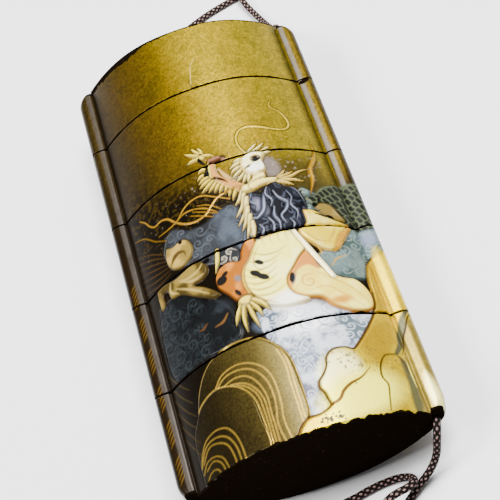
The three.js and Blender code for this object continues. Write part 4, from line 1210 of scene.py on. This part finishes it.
def paint_paw(c):
    """The lower paw: a pale palm and five claws spread over the dark water."""
    oval(c, (-2.5, -20), (1.7, 1.3), 0.2, CREAM, second=(0.80, 0.52, 0.13), edge=DARK_TAN, rise=0.7)
    locks(c, PAW_CLAWS, 0.95, CREAM, edge=(0.075, 0.052, 0.016), band=0.3, rise=0.75)
    for tip in ((-4.6, -22.2), (-3.6, -23.2), (-2.0, -23.2), (-0.9, -22.2)):
        stroke(c, [(-2.7, -20.4), tip], (0.3, 0.1), (0.34, 0.23, 0.05), soft=0.2, strength=0.6)
    stroke(c, [(-6.2, -20.6), (-7.4, -21.8), (-9, -22)], (0.2, 0.5, 0.1), (0.10, 0.045, 0.012), soft=0.25)
    stroke(c, [(-10.2, -20.6), (-11.4, -21.2), (-12, -21)], (0.2, 0.5, 0.1), (0.055, 0.024, 0.008),
           soft=0.25)


# %% Whiskers and fine lines
WHISKERS = [
    ([(6.0, 11.6), (5.2, 13.4), (5.1, 15.4), (6.0, 17.1), (7.6, 17.8), (9.8, 17.5), (12.4, 16.6),
      (14.4, 16.4), (15.6, 17.4), (15.7, 19.2), (14.8, 21.2), (13.6, 22.2), (13.4, 23.2),
      (13.9, 23.9)], 0.42),
    ([(2.8, 4.0), (0.6, 4.1), (-1.6, 3.7), (-3.2, 2.4), (-4.8, 0.9), (-7.0, 0.5), (-9.0, 1.2),
      (-10.6, 2.6), (-12.0, 4.4), (-13.4, 5.0), (-14.8, 4.8), (-15.8, 5.8), (-16.6, 7.4),
      (-17.6, 8.6)], 0.44),
    ([(0.4, 2.4), (-2.2, 4.0), (-4.4, 5.3), (-6.4, 5.3), (-8.4, 4.4), (-10.2, 2.8), (-12.4, 2.2),
      (-14.6, 2.2)], 0.34),
    ([(-4.4, 2.2), (-6.6, 3.2), (-8.6, 3.4), (-10, 2.8)], 0.3),
    ([(-2.6, 0.6), (-4.6, 2.4), (-6.4, 3.2)], 0.3),
    ([(-2.4, 0.2), (-5.2, 1.8), (-7, 2.8)], 0.2), ([(-3.4, -0.2), (-5.8, 1.2), (-7.6, 2.2)], 0.2),
    ([(-1.6, 0.8), (-3.8, 2.8), (-5.8, 3.6)], 0.2),
    ([(-13.2, 0.2), (-15.4, 1.8), (-17.6, 4.4), (-19.8, 5.6)], 0.26)]


def paint_lines(c):
    """Whiskers and windblown lines in pale gold, drops of foam, and the strokes on the left runner."""
    for points, width in WHISKERS:
        shade = 0.45 + 0.55 * step(np.mean(points, 0)[0], -17, -9)
        stroke(c, points, (width * 0.5, width * 0.8, width * 0.8, width * 0.3),
               np.multiply((0.34, 0.175, 0.012), shade), gold=0.4, soft=0.14, rise=0.3)
    stroke(c, WHISKERS[0][0], (0.26, 0.36, 0.34, 0.16), (0.56, 0.40, 0.03), gold=0.3, soft=0.14, rise=0.3)
    for k in range(7):
        stroke(c, [(-20.4, 2.2 - 1.4 * k), (-17.2, 0.2 - 1.2 * k), (-14.2, -2.4 - 0.7 * k)],
               (0.08, 0.2, 0.08), (0.060, 0.030, 0.007), soft=0.18, strength=0.8)
    rng = np.random.default_rng(51)
    specks(c, rng, 150, rng.normal, ((9, 8.0), (6.0, 3.0)), (0.09, 0.24), (0.20, 0.17, 0.13), (0.3, 0.8),
           soft=0.12, box=((-99, 2.5), (19, 14)))
    specks(c, rng, 40, rng.uniform, ((-18, -1), (0, 9)), (0.07, 0.15), (0.14, 0.12, 0.09), (0.3, 0.8),
           soft=0.12)
    for y in (-5.4, -12.6, -19.6, -27.4, -34.6, -41.6):
        for k in range(5):
            z = y + 1.9 - 0.95 * k
            stroke(c, [(-23.1, z - 1.2), (-22.5, z - 0.3), (-22.0, z + 0.4)], (0.06, 0.22, 0.08),
                   (0.13, 0.070, 0.006), gold=0.4, soft=0.16, strength=0.8)


# %% [markdown]
# ## Wear
# The lacquer has rubbed through to black at the rims and seams, where the sections are pulled
# apart, and has chipped on the highest parts of the relief. One chip stands out, on the right
# runner under the lid. Where the canvas is marked bare, the faces get the bare black material.

# %% Wear
RIM_BAND = 3  # the wear is heavier this near to a rim
RUNNER_CHIPS = [(21.6, 30.1), (22.4, 30.4)]
WEAR_SPOTS = [  # x, y, the two radii and the turn of each
    (-5.4, -14.2, 1.05, 0.85, 0.5), (-4.6, -13.2, 0.8, 0.4, 0.6), (-3.3, -17.8, 0.4, 0.85, 0.45),
    (1.8, -13.5, 0.50, 0.90, 0.9), (0.6, -15.5, 0.62, 1.1, 0.9), (1.7, -16.6, 0.62, 1.2, 0.95),
    (6.3, -18.3, 0.42, 1.1, -0.3), (-11.9, -8.2, 0.9, 0.25, 0.0), (22.0, 30.1, 1.0, 0.5, 0.1),
    (22.5, 30.5, 0.4, 0.5, 0.4)]


def paint_wear(c, low, high):
    """Ragged black along a section's ends, worn spots on the relief and thin scratches."""
    edge = np.minimum(c.y - low, high - c.y)
    ragged = 0.04 + 0.20 * noise(c.x, c.y, 0.9, 61) ** 2
    at_rim = np.abs(c.y) > RIM - RIM_BAND
    heavy = np.where(c.y > 0, 0.3 + 1.5 * step(-c.x, 0, 14), 0.9)
    ragged = ragged + at_rim * heavy * noise(c.x, c.y * 0.5, 1.0, 62) ** 1.6
    ragged = ragged + at_rim * (c.y > 0) * (0.12 + 0.6 * step(-c.x, 0, 14))
    worn = step(ragged - edge, -0.02, 0.05) * step(BODY_HALF + 0.2 - np.abs(c.x), -0.2, 0.2)
    c.colour[:] = mix(c.colour, BLACK, worn)
    c.bare[:] = np.maximum(c.bare, worn)
    for x, y, rx, ry, turn in WEAR_SPOTS:
        oval(c, (x, y), (rx, ry), turn, (0.0045, 0.0035, 0.003), rough=0.5)
    for x, y in RUNNER_CHIPS:
        c.bare[:] = np.maximum(c.bare, np.hypot((c.x - x) / 0.8, (c.y - y) / 0.4) < 1)
    stroke(c, [(0.1, 31.4), (0.7, 34), (1.2, 36.4), (2.6, 38.6)], (0.12, 0.2, 0.05), (0.60, 0.42, 0.09),
           soft=0.14, strength=0.8)
    stroke(c, [(0.2, 31.2), (0.1, 33), (0.5, 34.4)], (0.5, 0.2, 0.05), (0.030, 0.016, 0.004), soft=0.2,
           strength=0.7)
    stroke(c, [(-13, 31.3), (-12.4, 33.2), (-12.6, 35)], (0.3, 0.1), (0.03, 0.02, 0.006), soft=0.3,
           strength=0.6)
    rng = np.random.default_rng(63)
    for _ in range(46):
        at = rng.uniform((-17, 14), (18, 46))
        oval(c, at, rng.uniform(0.08, 0.28, 2), rng.uniform(0, 3), (0.05, 0.028, 0.006), soft=0.2,
             strength=rng.uniform(0.3, 0.7))


# %% The whole picture


def paint_front(c, low, high):
    """The whole picture, as seen on one section between two heights."""
    paint_ground(c)
    paint_sea(c)
    paint_mounds(c)
    paint_rocks(c)
    paint_back_scales(c)
    paint_mane(c)
    paint_left_curl(c)
    paint_belly(c)
    paint_gold_forms(c)
    paint_arm(c)
    locks(c, NECK_LOCKS, 1.0, (0.78, 0.64, 0.20), edge=(0.20, 0.13, 0.03), band=0.3, rise=0.65)
    paint_head(c)
    paint_paw(c)
    paint_lines(c)
    paint_wear(c, low, high)


def paint_back(c, low, high):
    """The back, plainer: the same sprinkled ground, with water and two mounds along the bottom."""
    paint_ground(c)
    water = [(-19, -22), (-8, -17), (4, -20), (14, -16), (20, -20), (20, -40), (-19, -40)]
    area(c, water, DEEP, second=(0.022, 0.026, 0.031), soft=0.8, rise=0.15)
    curls(c, water, 1.8, 15, 0.3, DEEP_LINE, soft=0.16, strength=0.85)
    for centre, half, rise in ((-11, 8.5, 0.3), (9, 10.5, 0.4)):
        for k in range(5):
            r = half - 1.1 * k
            t = np.linspace(0, np.pi, 9)
            arch = np.stack([centre + r * np.cos(t), -47.6 + 1.7 * r * np.sin(t)], -1)
            if k == 0:
                area(c, arch, (0.014, 0.0085, 0.002), gold=0.6, rise=rise, rough=0.35)
            stroke(c, arch, 0.3, LINE_GOLD, gold=0.5, soft=0.14)
    paint_wear(c, low, high)


# %% [markdown]
# ## Lacquer
# Polished lacquer is a thin clear coat over whatever lies in it, so the shader is one principled
# surface with a light coat. Its colour, metal and roughness come from the paint stored on the
# points. Flakes of gold too small for the mesh are Voronoi cells of a quarter of a millimetre, each
# with its own brightness, and a faint unevenness of the coat breaks up the reflections. The domed
# ends, the insides and the worn edges are bare black lacquer, rubbed matt.

# %% Shader nodes


def node(tree, kind, **settings):
    """Adds a shader node and sets its properties and its unlinked inputs by name."""
    made = tree.nodes.new(kind)
    for key, value in settings.items():
        if key in made.inputs:
            made.inputs[key].default_value = value
        else:
            setattr(made, key, value)
    return made


def new_material(name):
    """A material with an empty node tree but for its principled surface and its output."""
    material = bpy.data.materials.new(name)
    material.use_nodes = True
    tree = material.node_tree
    tree.nodes.clear()
    surface = tree.nodes.new("ShaderNodeBsdfPrincipled")
    output = tree.nodes.new("ShaderNodeOutputMaterial")
    tree.links.new(surface.outputs[0], output.inputs[0])
    return material, tree, surface


def remap(tree, value, low, high, start=0.0, end=1.0):
    """A value from 0 to 1, or from start to end, spread over another range."""
    spread = node(tree, "ShaderNodeMapRange")
    for key, number in (("From Min", start), ("From Max", end), ("To Min", low), ("To Max", high)):
        spread.inputs[key].default_value = number
    tree.links.new(value, spread.inputs["Value"])
    return spread.outputs[0]


def uneven_coat(tree, surface, place, scale, strength):
    """A fine noise that bumps the surface, so that no reflection in it is quite straight."""
    rough = node(tree, "ShaderNodeTexNoise", Scale=scale, Detail=3.0)
    bump = node(tree, "ShaderNodeBump", Strength=strength, Distance=0.00006)
    tree.links.new(place, rough.inputs["Vector"])
    tree.links.new(rough.outputs["Fac"], bump.inputs["Height"])
    tree.links.new(bump.outputs[0], surface.inputs["Normal"])


# %% The two lacquers


def lacquer_material():
    material, tree, surface = new_material("lacquer")
    link = tree.links.new
    place = tree.nodes.new("ShaderNodeTexCoord").outputs["Object"]
    paint = node(tree, "ShaderNodeAttribute", attribute_name="paint").outputs["Color"]
    gold = node(tree, "ShaderNodeAttribute", attribute_name="gold").outputs["Fac"]
    dull = node(tree, "ShaderNodeAttribute", attribute_name="dull").outputs["Fac"]
    flakes = node(tree, "ShaderNodeTexVoronoi", Scale=3800.0)
    link(place, flakes.inputs["Vector"])
    glint = node(tree, "ShaderNodeMix", data_type="FLOAT")
    glint.inputs["A"].default_value = 1.0
    link(gold, glint.inputs["Factor"])
    link(remap(tree, flakes.outputs["Color"], 0.55, 1.5), glint.inputs["B"])
    tinted = node(tree, "ShaderNodeVectorMath", operation="SCALE")
    link(paint, tinted.inputs[0])
    link(glint.outputs[0], tinted.inputs["Scale"])
    link(tinted.outputs[0], surface.inputs["Base Color"])
    link(remap(tree, gold, 0.0, GOLD_METAL), surface.inputs["Metallic"])
    link(dull, surface.inputs["Roughness"])
    uneven_coat(tree, surface, place, 900.0, 0.12)
    surface.inputs["Specular IOR Level"].default_value = 0.06
    surface.inputs["Coat Weight"].default_value = 0.03
    surface.inputs["Coat Roughness"].default_value = 0.10
    return material


def bare_material():
    material, tree, surface = new_material("bare_lacquer")
    place = tree.nodes.new("ShaderNodeTexCoord").outputs["Object"]
    dots = node(tree, "ShaderNodeTexNoise", Scale=2600.0, Detail=1.0)
    tree.links.new(place, dots.inputs["Vector"])
    colour = node(tree, "ShaderNodeMix", data_type="RGBA")
    colour.inputs["A"].default_value = (0.0042, 0.0026, 0.0014, 1)
    colour.inputs["B"].default_value = (0.030, 0.018, 0.006, 1)
    tree.links.new(remap(tree, dots.outputs["Fac"], 0.0, 1.0, 0.70, 0.80), colour.inputs["Factor"])
    tree.links.new(colour.outputs["Result"], surface.inputs["Base Color"])
    uneven_coat(tree, surface, place, 700.0, 0.2)
    surface.inputs["Roughness"].default_value = 0.42
    surface.inputs["Specular IOR Level"].default_value = 0.0
    return material


GOLD_METAL = 0.95
LACQUER = lacquer_material()
BARE = bare_material()
print("lacquers:", LACQUER.name, BARE.name)

# %% [markdown]
# ## The sections
# A section is one closed surface made of rings: out from the middle of its underside, up the
# outside, in over the top, down the inside and back to the middle. The lid and the bottom case
# have a domed end in place of one recess. Every ring has the same number of points, so the rings
# join into a grid. The picture's height is added along the outline's own normal.

# %% The outside's rings
ROW_STEP = 0.16
EDGE_ROUND = 0.16
PAST_END = 0.01
RIM_ROWS = np.array([0.02, 0.05, 0.09, 0.14, 0.2])  # closer rows where an edge is rounded
END_ROWS = (0.24, 0.16, 0.09, 0.04, 0.01)  # and where a runner ends
DOME_SHARES = np.linspace(1, 0.02, 14)[1:]
CHANNEL_POINTS = 28
WORN_CORNERS = 1.6  # a face is bare when its four corners' wear adds up to more
NEAR_EDGE = 0.2  # a ring this near to an edge keeps the edge crisp
NEAR_LIP = 0.15
LIP_SLOPE = 0.005  # share by which the top of a riser's wall narrows
GROOVE_CLEAR = 1.2  # the relief rises to its height over this distance from a groove
SEAM_CLEAR = 0.3  # and over this distance from a seam
FLAT_BAND = 0.6  # the back has none within this depth of the side that it lies on


def outline_normals():
    """Unit normals of the outline, pointing out, from the difference of neighbouring points."""
    along = np.roll(OUTLINE, -1, axis=0) - np.roll(OUTLINE, 1, axis=0)
    normal = np.stack([-along[:, 1], along[:, 0]], -1)
    return normal / np.linalg.norm(normal, axis=1)[:, None]


NORMALS = outline_normals()
if (NORMALS * OUTLINE).sum() < 0:
    NORMALS = -NORMALS


def corner_limit(y):
    """How far out a runner reaches at a height: its outer ends are quarter ovals."""
    past = np.clip((np.abs(y) - (RUNNER_END - CORNER[1])) / CORNER[1], 0, 1)
    return OUTER_HALF - CORNER[0] * (1 - np.sqrt(1 - past ** 2))


def outer_rows(low, high):
    """Heights of the outside's rings, closer together at a rim and where the runners round off and end."""
    rows = np.linspace(low, high, int((high - low) / ROW_STEP) + 1)
    end = RUNNER_END - np.array([*END_ROWS, 0, -PAST_END])
    rows = np.concatenate([rows, low + RIM_ROWS, high - RIM_ROWS, end, -end])
    return np.unique(np.round(rows[(rows >= low) & (rows <= high)], 4))


def outer_rings(low, high):
    """Points of the outside, row by row, before the picture raises them.

    Past the runners' ends, their points lie on the lens's narrow edge: z = edge * (1 - 2 * share).
    """
    y = outer_rows(low, high)
    edge = np.minimum(y - low, high - y)
    round_in = EDGE_ROUND * (1 - np.sqrt(1 - (1 - np.clip(edge / EDGE_ROUND, 0, 1)) ** 2))
    place = OUTLINE[None] - NORMALS[None] * round_in[:, None, None]
    reach = corner_limit(y)[:, None]
    x = place[..., 0]
    out = np.maximum(np.abs(x) - BODY_HALF, 0) * (reach - BODY_HALF) / (OUTER_HALF - BODY_HALF)
    x = np.sign(x) * (np.minimum(np.abs(x), BODY_HALF) + out)
    runner = (ZONE % 2 == 1)[None] & (np.abs(y) > RUNNER_END + PAST_END / 2)[:, None]
    side = np.where(ZONE == RIGHT_RUNNER, 1, -1)
    x = np.where(runner, side * (BODY_HALF - round_in[:, None]), x)
    z = np.where(runner, side * (EDGE_HALF - round_in[:, None]) * (1 - 2 * ZONE_SHARE), place[..., 1])
    return np.stack([x, np.broadcast_to(y[:, None], x.shape), z], -1)


# %% The whole surface of a section


def flat_ring(outline, y):
    return np.stack([outline[:, 0], np.full(len(outline), y), outline[:, 1]], -1)


def shrinking(outline, y, shares):
    """Rings of a flat floor or ceiling, from its edge toward its middle."""
    return np.stack([flat_ring(outline * s, y) for s in shares])


def dome_rings(outline, rim, rise):
    """Rings of a shallow dome: height = rim + rise * (1 - share ** 2) over shares of the outline."""
    return np.stack([flat_ring(outline * s, rim + rise * (1 - s * s)) for s in DOME_SHARES])


def section(name):
    """One section's rings, painted and raised, with its domed end, recess, riser and inside.

    It also gives which of the faces between the rings are bare lacquer.
    """
    low, high = HEIGHTS[name]
    outer = outer_rings(low, high)
    socket = inner_outline(SOCKET_HALF, WALL)
    riser = inner_outline(RISER_HALF, RISER_INSET)
    cavity = inner_outline(CAVITY_HALF, CAVITY_INSET)
    lens = np.stack([outer[-1][:, 0], outer[-1][:, 2]], -1)
    if name == "case_4":
        below = dome_rings(np.stack([outer[0][:, 0], outer[0][:, 2]], -1), low, -DOME)[::-1]
    else:
        ceiling = low + (high - low - TOP_WALL if name == "lid" else SOCKET_DEEP)
        heights = (ceiling, ceiling - NEAR_EDGE, low + NEAR_EDGE, low)
        wall = np.stack([flat_ring(socket, y) for y in heights])
        below = np.concatenate([shrinking(socket, ceiling, (0.02, 0.5)), wall])
    if name == "lid":
        above = dome_rings(lens, high, DOME)
    else:
        lip = high + SEAM + RISER_TALL
        floor = low + FLOOR + (0 if name == "case_4" else SOCKET_DEEP)
        above = np.concatenate([
            np.stack([flat_ring(riser, y) for y in (high, high + NEAR_EDGE, lip - NEAR_LIP)]),
            flat_ring(riser * (1 - LIP_SLOPE), lip)[None], flat_ring(cavity * (1 + LIP_SLOPE), lip)[None],
            np.stack([flat_ring(cavity, y) for y in (lip - NEAR_LIP, floor + NEAR_EDGE, floor)]),
            shrinking(cavity, floor, (0.5, 0.02))])
    rings = np.concatenate([below, outer, above])
    first = len(below)
    last = first + len(outer)
    rings, worn = painted_rings(name, rings, first, last, low, high)
    bare = np.ones((len(rings) - 1, len(OUTLINE)))
    corners = worn[first:last - 1] + worn[first + 1:last]
    bare[first:last - 1] = corners + np.roll(corners, -1, axis=1) > WORN_CORNERS
    return rings, bare.ravel()


# %% Paint on a section
PAINT = {}


def painted_rings(name, rings, first, last, low, high):
    """Paints the outside rings front and back, raises the front, and keeps the paint for the mesh."""
    rows, around = rings.shape[:2]
    x, y, z = (rings[..., k].ravel() for k in range(3))
    ring = np.repeat(np.arange(rows), around)
    outside = (ring >= first) & (ring < last)
    colour = np.tile(np.array(BLACK), (len(x), 1))
    gold, height, worn = np.zeros((3, len(x)))
    rough = np.full(len(x), 0.16)
    for picked, paint in ((outside & (z >= 0), paint_front), (outside & (z < 0), paint_back)):
        where = np.flatnonzero(picked)
        canvas = Canvas(x[where], y[where])
        paint(canvas, low, high)
        colour[where], gold[where], rough[where] = canvas.colour, canvas.gold, canvas.rough
        height[where], worn[where] = canvas.height, canvas.bare
    lens_only = step(BODY_HALF - np.abs(x), 0.0, GROOVE_CLEAR)
    flat_zone = z < FLAT_BAND - MID_Z
    edge = np.minimum(y - low, high - y)
    height *= lens_only * step(edge, 0.0, SEAM_CLEAR) * ~flat_zone
    shift = (height.reshape(rows, around) * (np.arange(rows)[:, None] >= first)
             * (np.arange(rows)[:, None] < last))
    rings = rings.copy()
    rings[..., 0] += NORMALS[None, :, 0] * shift
    rings[..., 2] += NORMALS[None, :, 1] * shift
    rings[..., 2] = np.maximum(rings[..., 2] + MID_Z, 0.0)
    PAINT[name] = (colour, gold, rough)
    return rings, worn.reshape(rows, around)


def dress(piece, bare):
    """Gives a piece its two materials: the painted lacquer, and bare lacquer where bare is 1."""
    piece.data.materials.append(LACQUER)
    piece.data.materials.append(BARE)
    piece.data.polygons.foreach_set("material_index", np.asarray(bare, dtype=np.int32))


# %% Making the sections


def bore(piece):
    """Cuts the two cord channels out of a section with one round bar each."""
    turn = np.linspace(0, 2 * np.pi, CHANNEL_POINTS, endpoint=False)
    across, up = CHANNEL_R * np.cos(turn), MID_Z - CHANNEL_R * np.sin(turn)
    for side in (-1, 1):
        ring = np.stack([side * CHANNEL_X + across, np.zeros(CHANNEL_POINTS), up], -1)
        bar = capped("bar", np.stack([ring + (0, y, 0) for y in (-RIM - 2 * DOME, RIM + 2 * DOME)]))
        dress(bar, np.ones(len(bar.data.polygons)))
        cut = piece.modifiers.new("channel", "BOOLEAN")
        cut.object = bar
        cut.operation = "DIFFERENCE"
        cut.solver = "FAST"
        bpy.context.view_layer.objects.active = piece
        bpy.ops.object.modifier_apply(modifier=cut.name)
        bpy.data.objects.remove(bar)


def make_section(name):
    """Builds a section, stores its paint as attributes and sets it in place of its solid."""
    rings, bare = section(name)
    piece = capped(f"{name}_lacquered", rings)
    dress(piece, np.concatenate([bare, np.ones(2 * len(OUTLINE))]))
    colour, gold, rough = PAINT[name]
    ends = np.array(BLACK)[None].repeat(2, 0)
    rgba = np.concatenate([np.concatenate([colour, ends]), np.ones((len(colour) + 2, 1))], -1)
    add_attribute(piece, "paint", rgba, "FLOAT_COLOR")
    add_attribute(piece, "gold", np.concatenate([gold, [0, 0]]))
    add_attribute(piece, "dull", np.concatenate([rough, [0.2, 0.2]]))
    bore(piece)
    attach(piece, "root")
    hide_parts(name)
    print(name, "points:", len(piece.data.vertices), "faces:", len(piece.data.polygons))
    return piece


sections = [make_section(name) for name in SECTIONS]

# %% [markdown]
# ## Silk
# The cord's colour follows its braid: dark brown silk with a pale strand that shows in short
# flecks. A fine noise stands for its fibres: it varies the colour and roughens the surface.

# %% Silk


def silk_material():
    material, tree, surface = new_material("silk")
    link = tree.links.new
    place = tree.nodes.new("ShaderNodeTexCoord").outputs["Object"]
    pale = node(tree, "ShaderNodeAttribute", attribute_name="pale").outputs["Fac"]
    fibres = node(tree, "ShaderNodeTexNoise", Scale=5200.0, Detail=2.0)
    link(place, fibres.inputs["Vector"])
    colour = node(tree, "ShaderNodeMix", data_type="RGBA")
    colour.inputs["A"].default_value = (0.0035, 0.0024, 0.0021, 1)
    colour.inputs["B"].default_value = (0.30, 0.195, 0.175, 1)
    link(pale, colour.inputs["Factor"])
    varied = node(tree, "ShaderNodeVectorMath", operation="SCALE")
    link(colour.outputs["Result"], varied.inputs[0])
    link(remap(tree, fibres.outputs["Fac"], 0.6, 1.35), varied.inputs["Scale"])
    link(varied.outputs[0], surface.inputs["Base Color"])
    bump = node(tree, "ShaderNodeBump", Strength=0.35, Distance=0.00004)
    link(fibres.outputs["Fac"], bump.inputs["Height"])
    link(bump.outputs[0], surface.inputs["Normal"])
    surface.inputs["Roughness"].default_value = 0.7
    surface.inputs["Specular IOR Level"].default_value = 0.06
    return material


SILK = silk_material()
for piece in CORD_PIECES:
    piece.data.materials.append(SILK)
for name in ("cord_in_left_runner", "cord_in_right_runner"):
    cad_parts[name].data.materials.clear()
    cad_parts[name].data.materials.append(SILK)
print("silk on", SILK.users, "pieces")

# %% [markdown]
# ## Table and light
# The table is plain and almost white. Polished lacquer mirrors its surroundings, so they are kept
# dim. A panel overhead gives most of the light, one at the left lays the box's soft shadow to the
# right and below, and a broad dim one behind and to the right is what the gold mirrors.

# %% Table and light


def table():
    """A flat pale surface under the box."""
    reach = 1400
    corners = [(-reach, -reach, 0), (reach, -reach, 0), (reach, reach, 0), (-reach, reach, 0)]
    floor = new_mesh("table", corners, [(0, 1, 2, 3)])
    material, _, surface = new_material("table")
    surface.inputs["Base Color"].default_value = (0.86, 0.86, 0.87, 1)
    surface.inputs["Roughness"].default_value = 0.6
    floor.data.materials.append(material)
    return floor


def panel(name, at, size, power, toward=(0, 0, 10)):
    """A square lamp that faces a point."""
    data = bpy.data.lights.new(name, "AREA")
    data.shape = "RECTANGLE"
    data.size, data.size_y = (s * MM for s in size)
    data.energy = power
    lamp = bpy.data.objects.new(name, data)
    bpy.context.scene.collection.objects.link(lamp)
    away = np.subtract(at, toward).astype(float)
    away /= np.linalg.norm(away)
    side = np.cross((0.0, 1.0, 0.0), away)
    side /= np.linalg.norm(side)
    up = np.cross(away, side)
    turn = Matrix(np.stack([side, up, away], -1).tolist()).to_4x4()
    lamp.matrix_world = Matrix.Translation([v * MM for v in at]) @ turn
    return lamp


WORLD_LIGHT = 0.18

table()
panel("panel_over", (116, 139, 676), (320, 320), 13.6)
panel("panel_left", (-424, -75, 550), (260, 260), 7.4)
panel("panel_mirror", (225, 390, 536), (460, 460), 2.0)
world = bpy.data.worlds.new("studio")
world.use_nodes = True
world.node_tree.nodes["Background"].inputs[0].default_value = (1, 1, 1, 1)
world.node_tree.nodes["Background"].inputs[1].default_value = WORLD_LIGHT
bpy.context.scene.world = world

# %% [markdown]
# ## Measuring
# The dressed box has to stay the size of its solids. This cell counts the sections' triangles.

# %% Measuring


print("triangles:", sum(len(p.data.polygons) for p in sections) * 2)
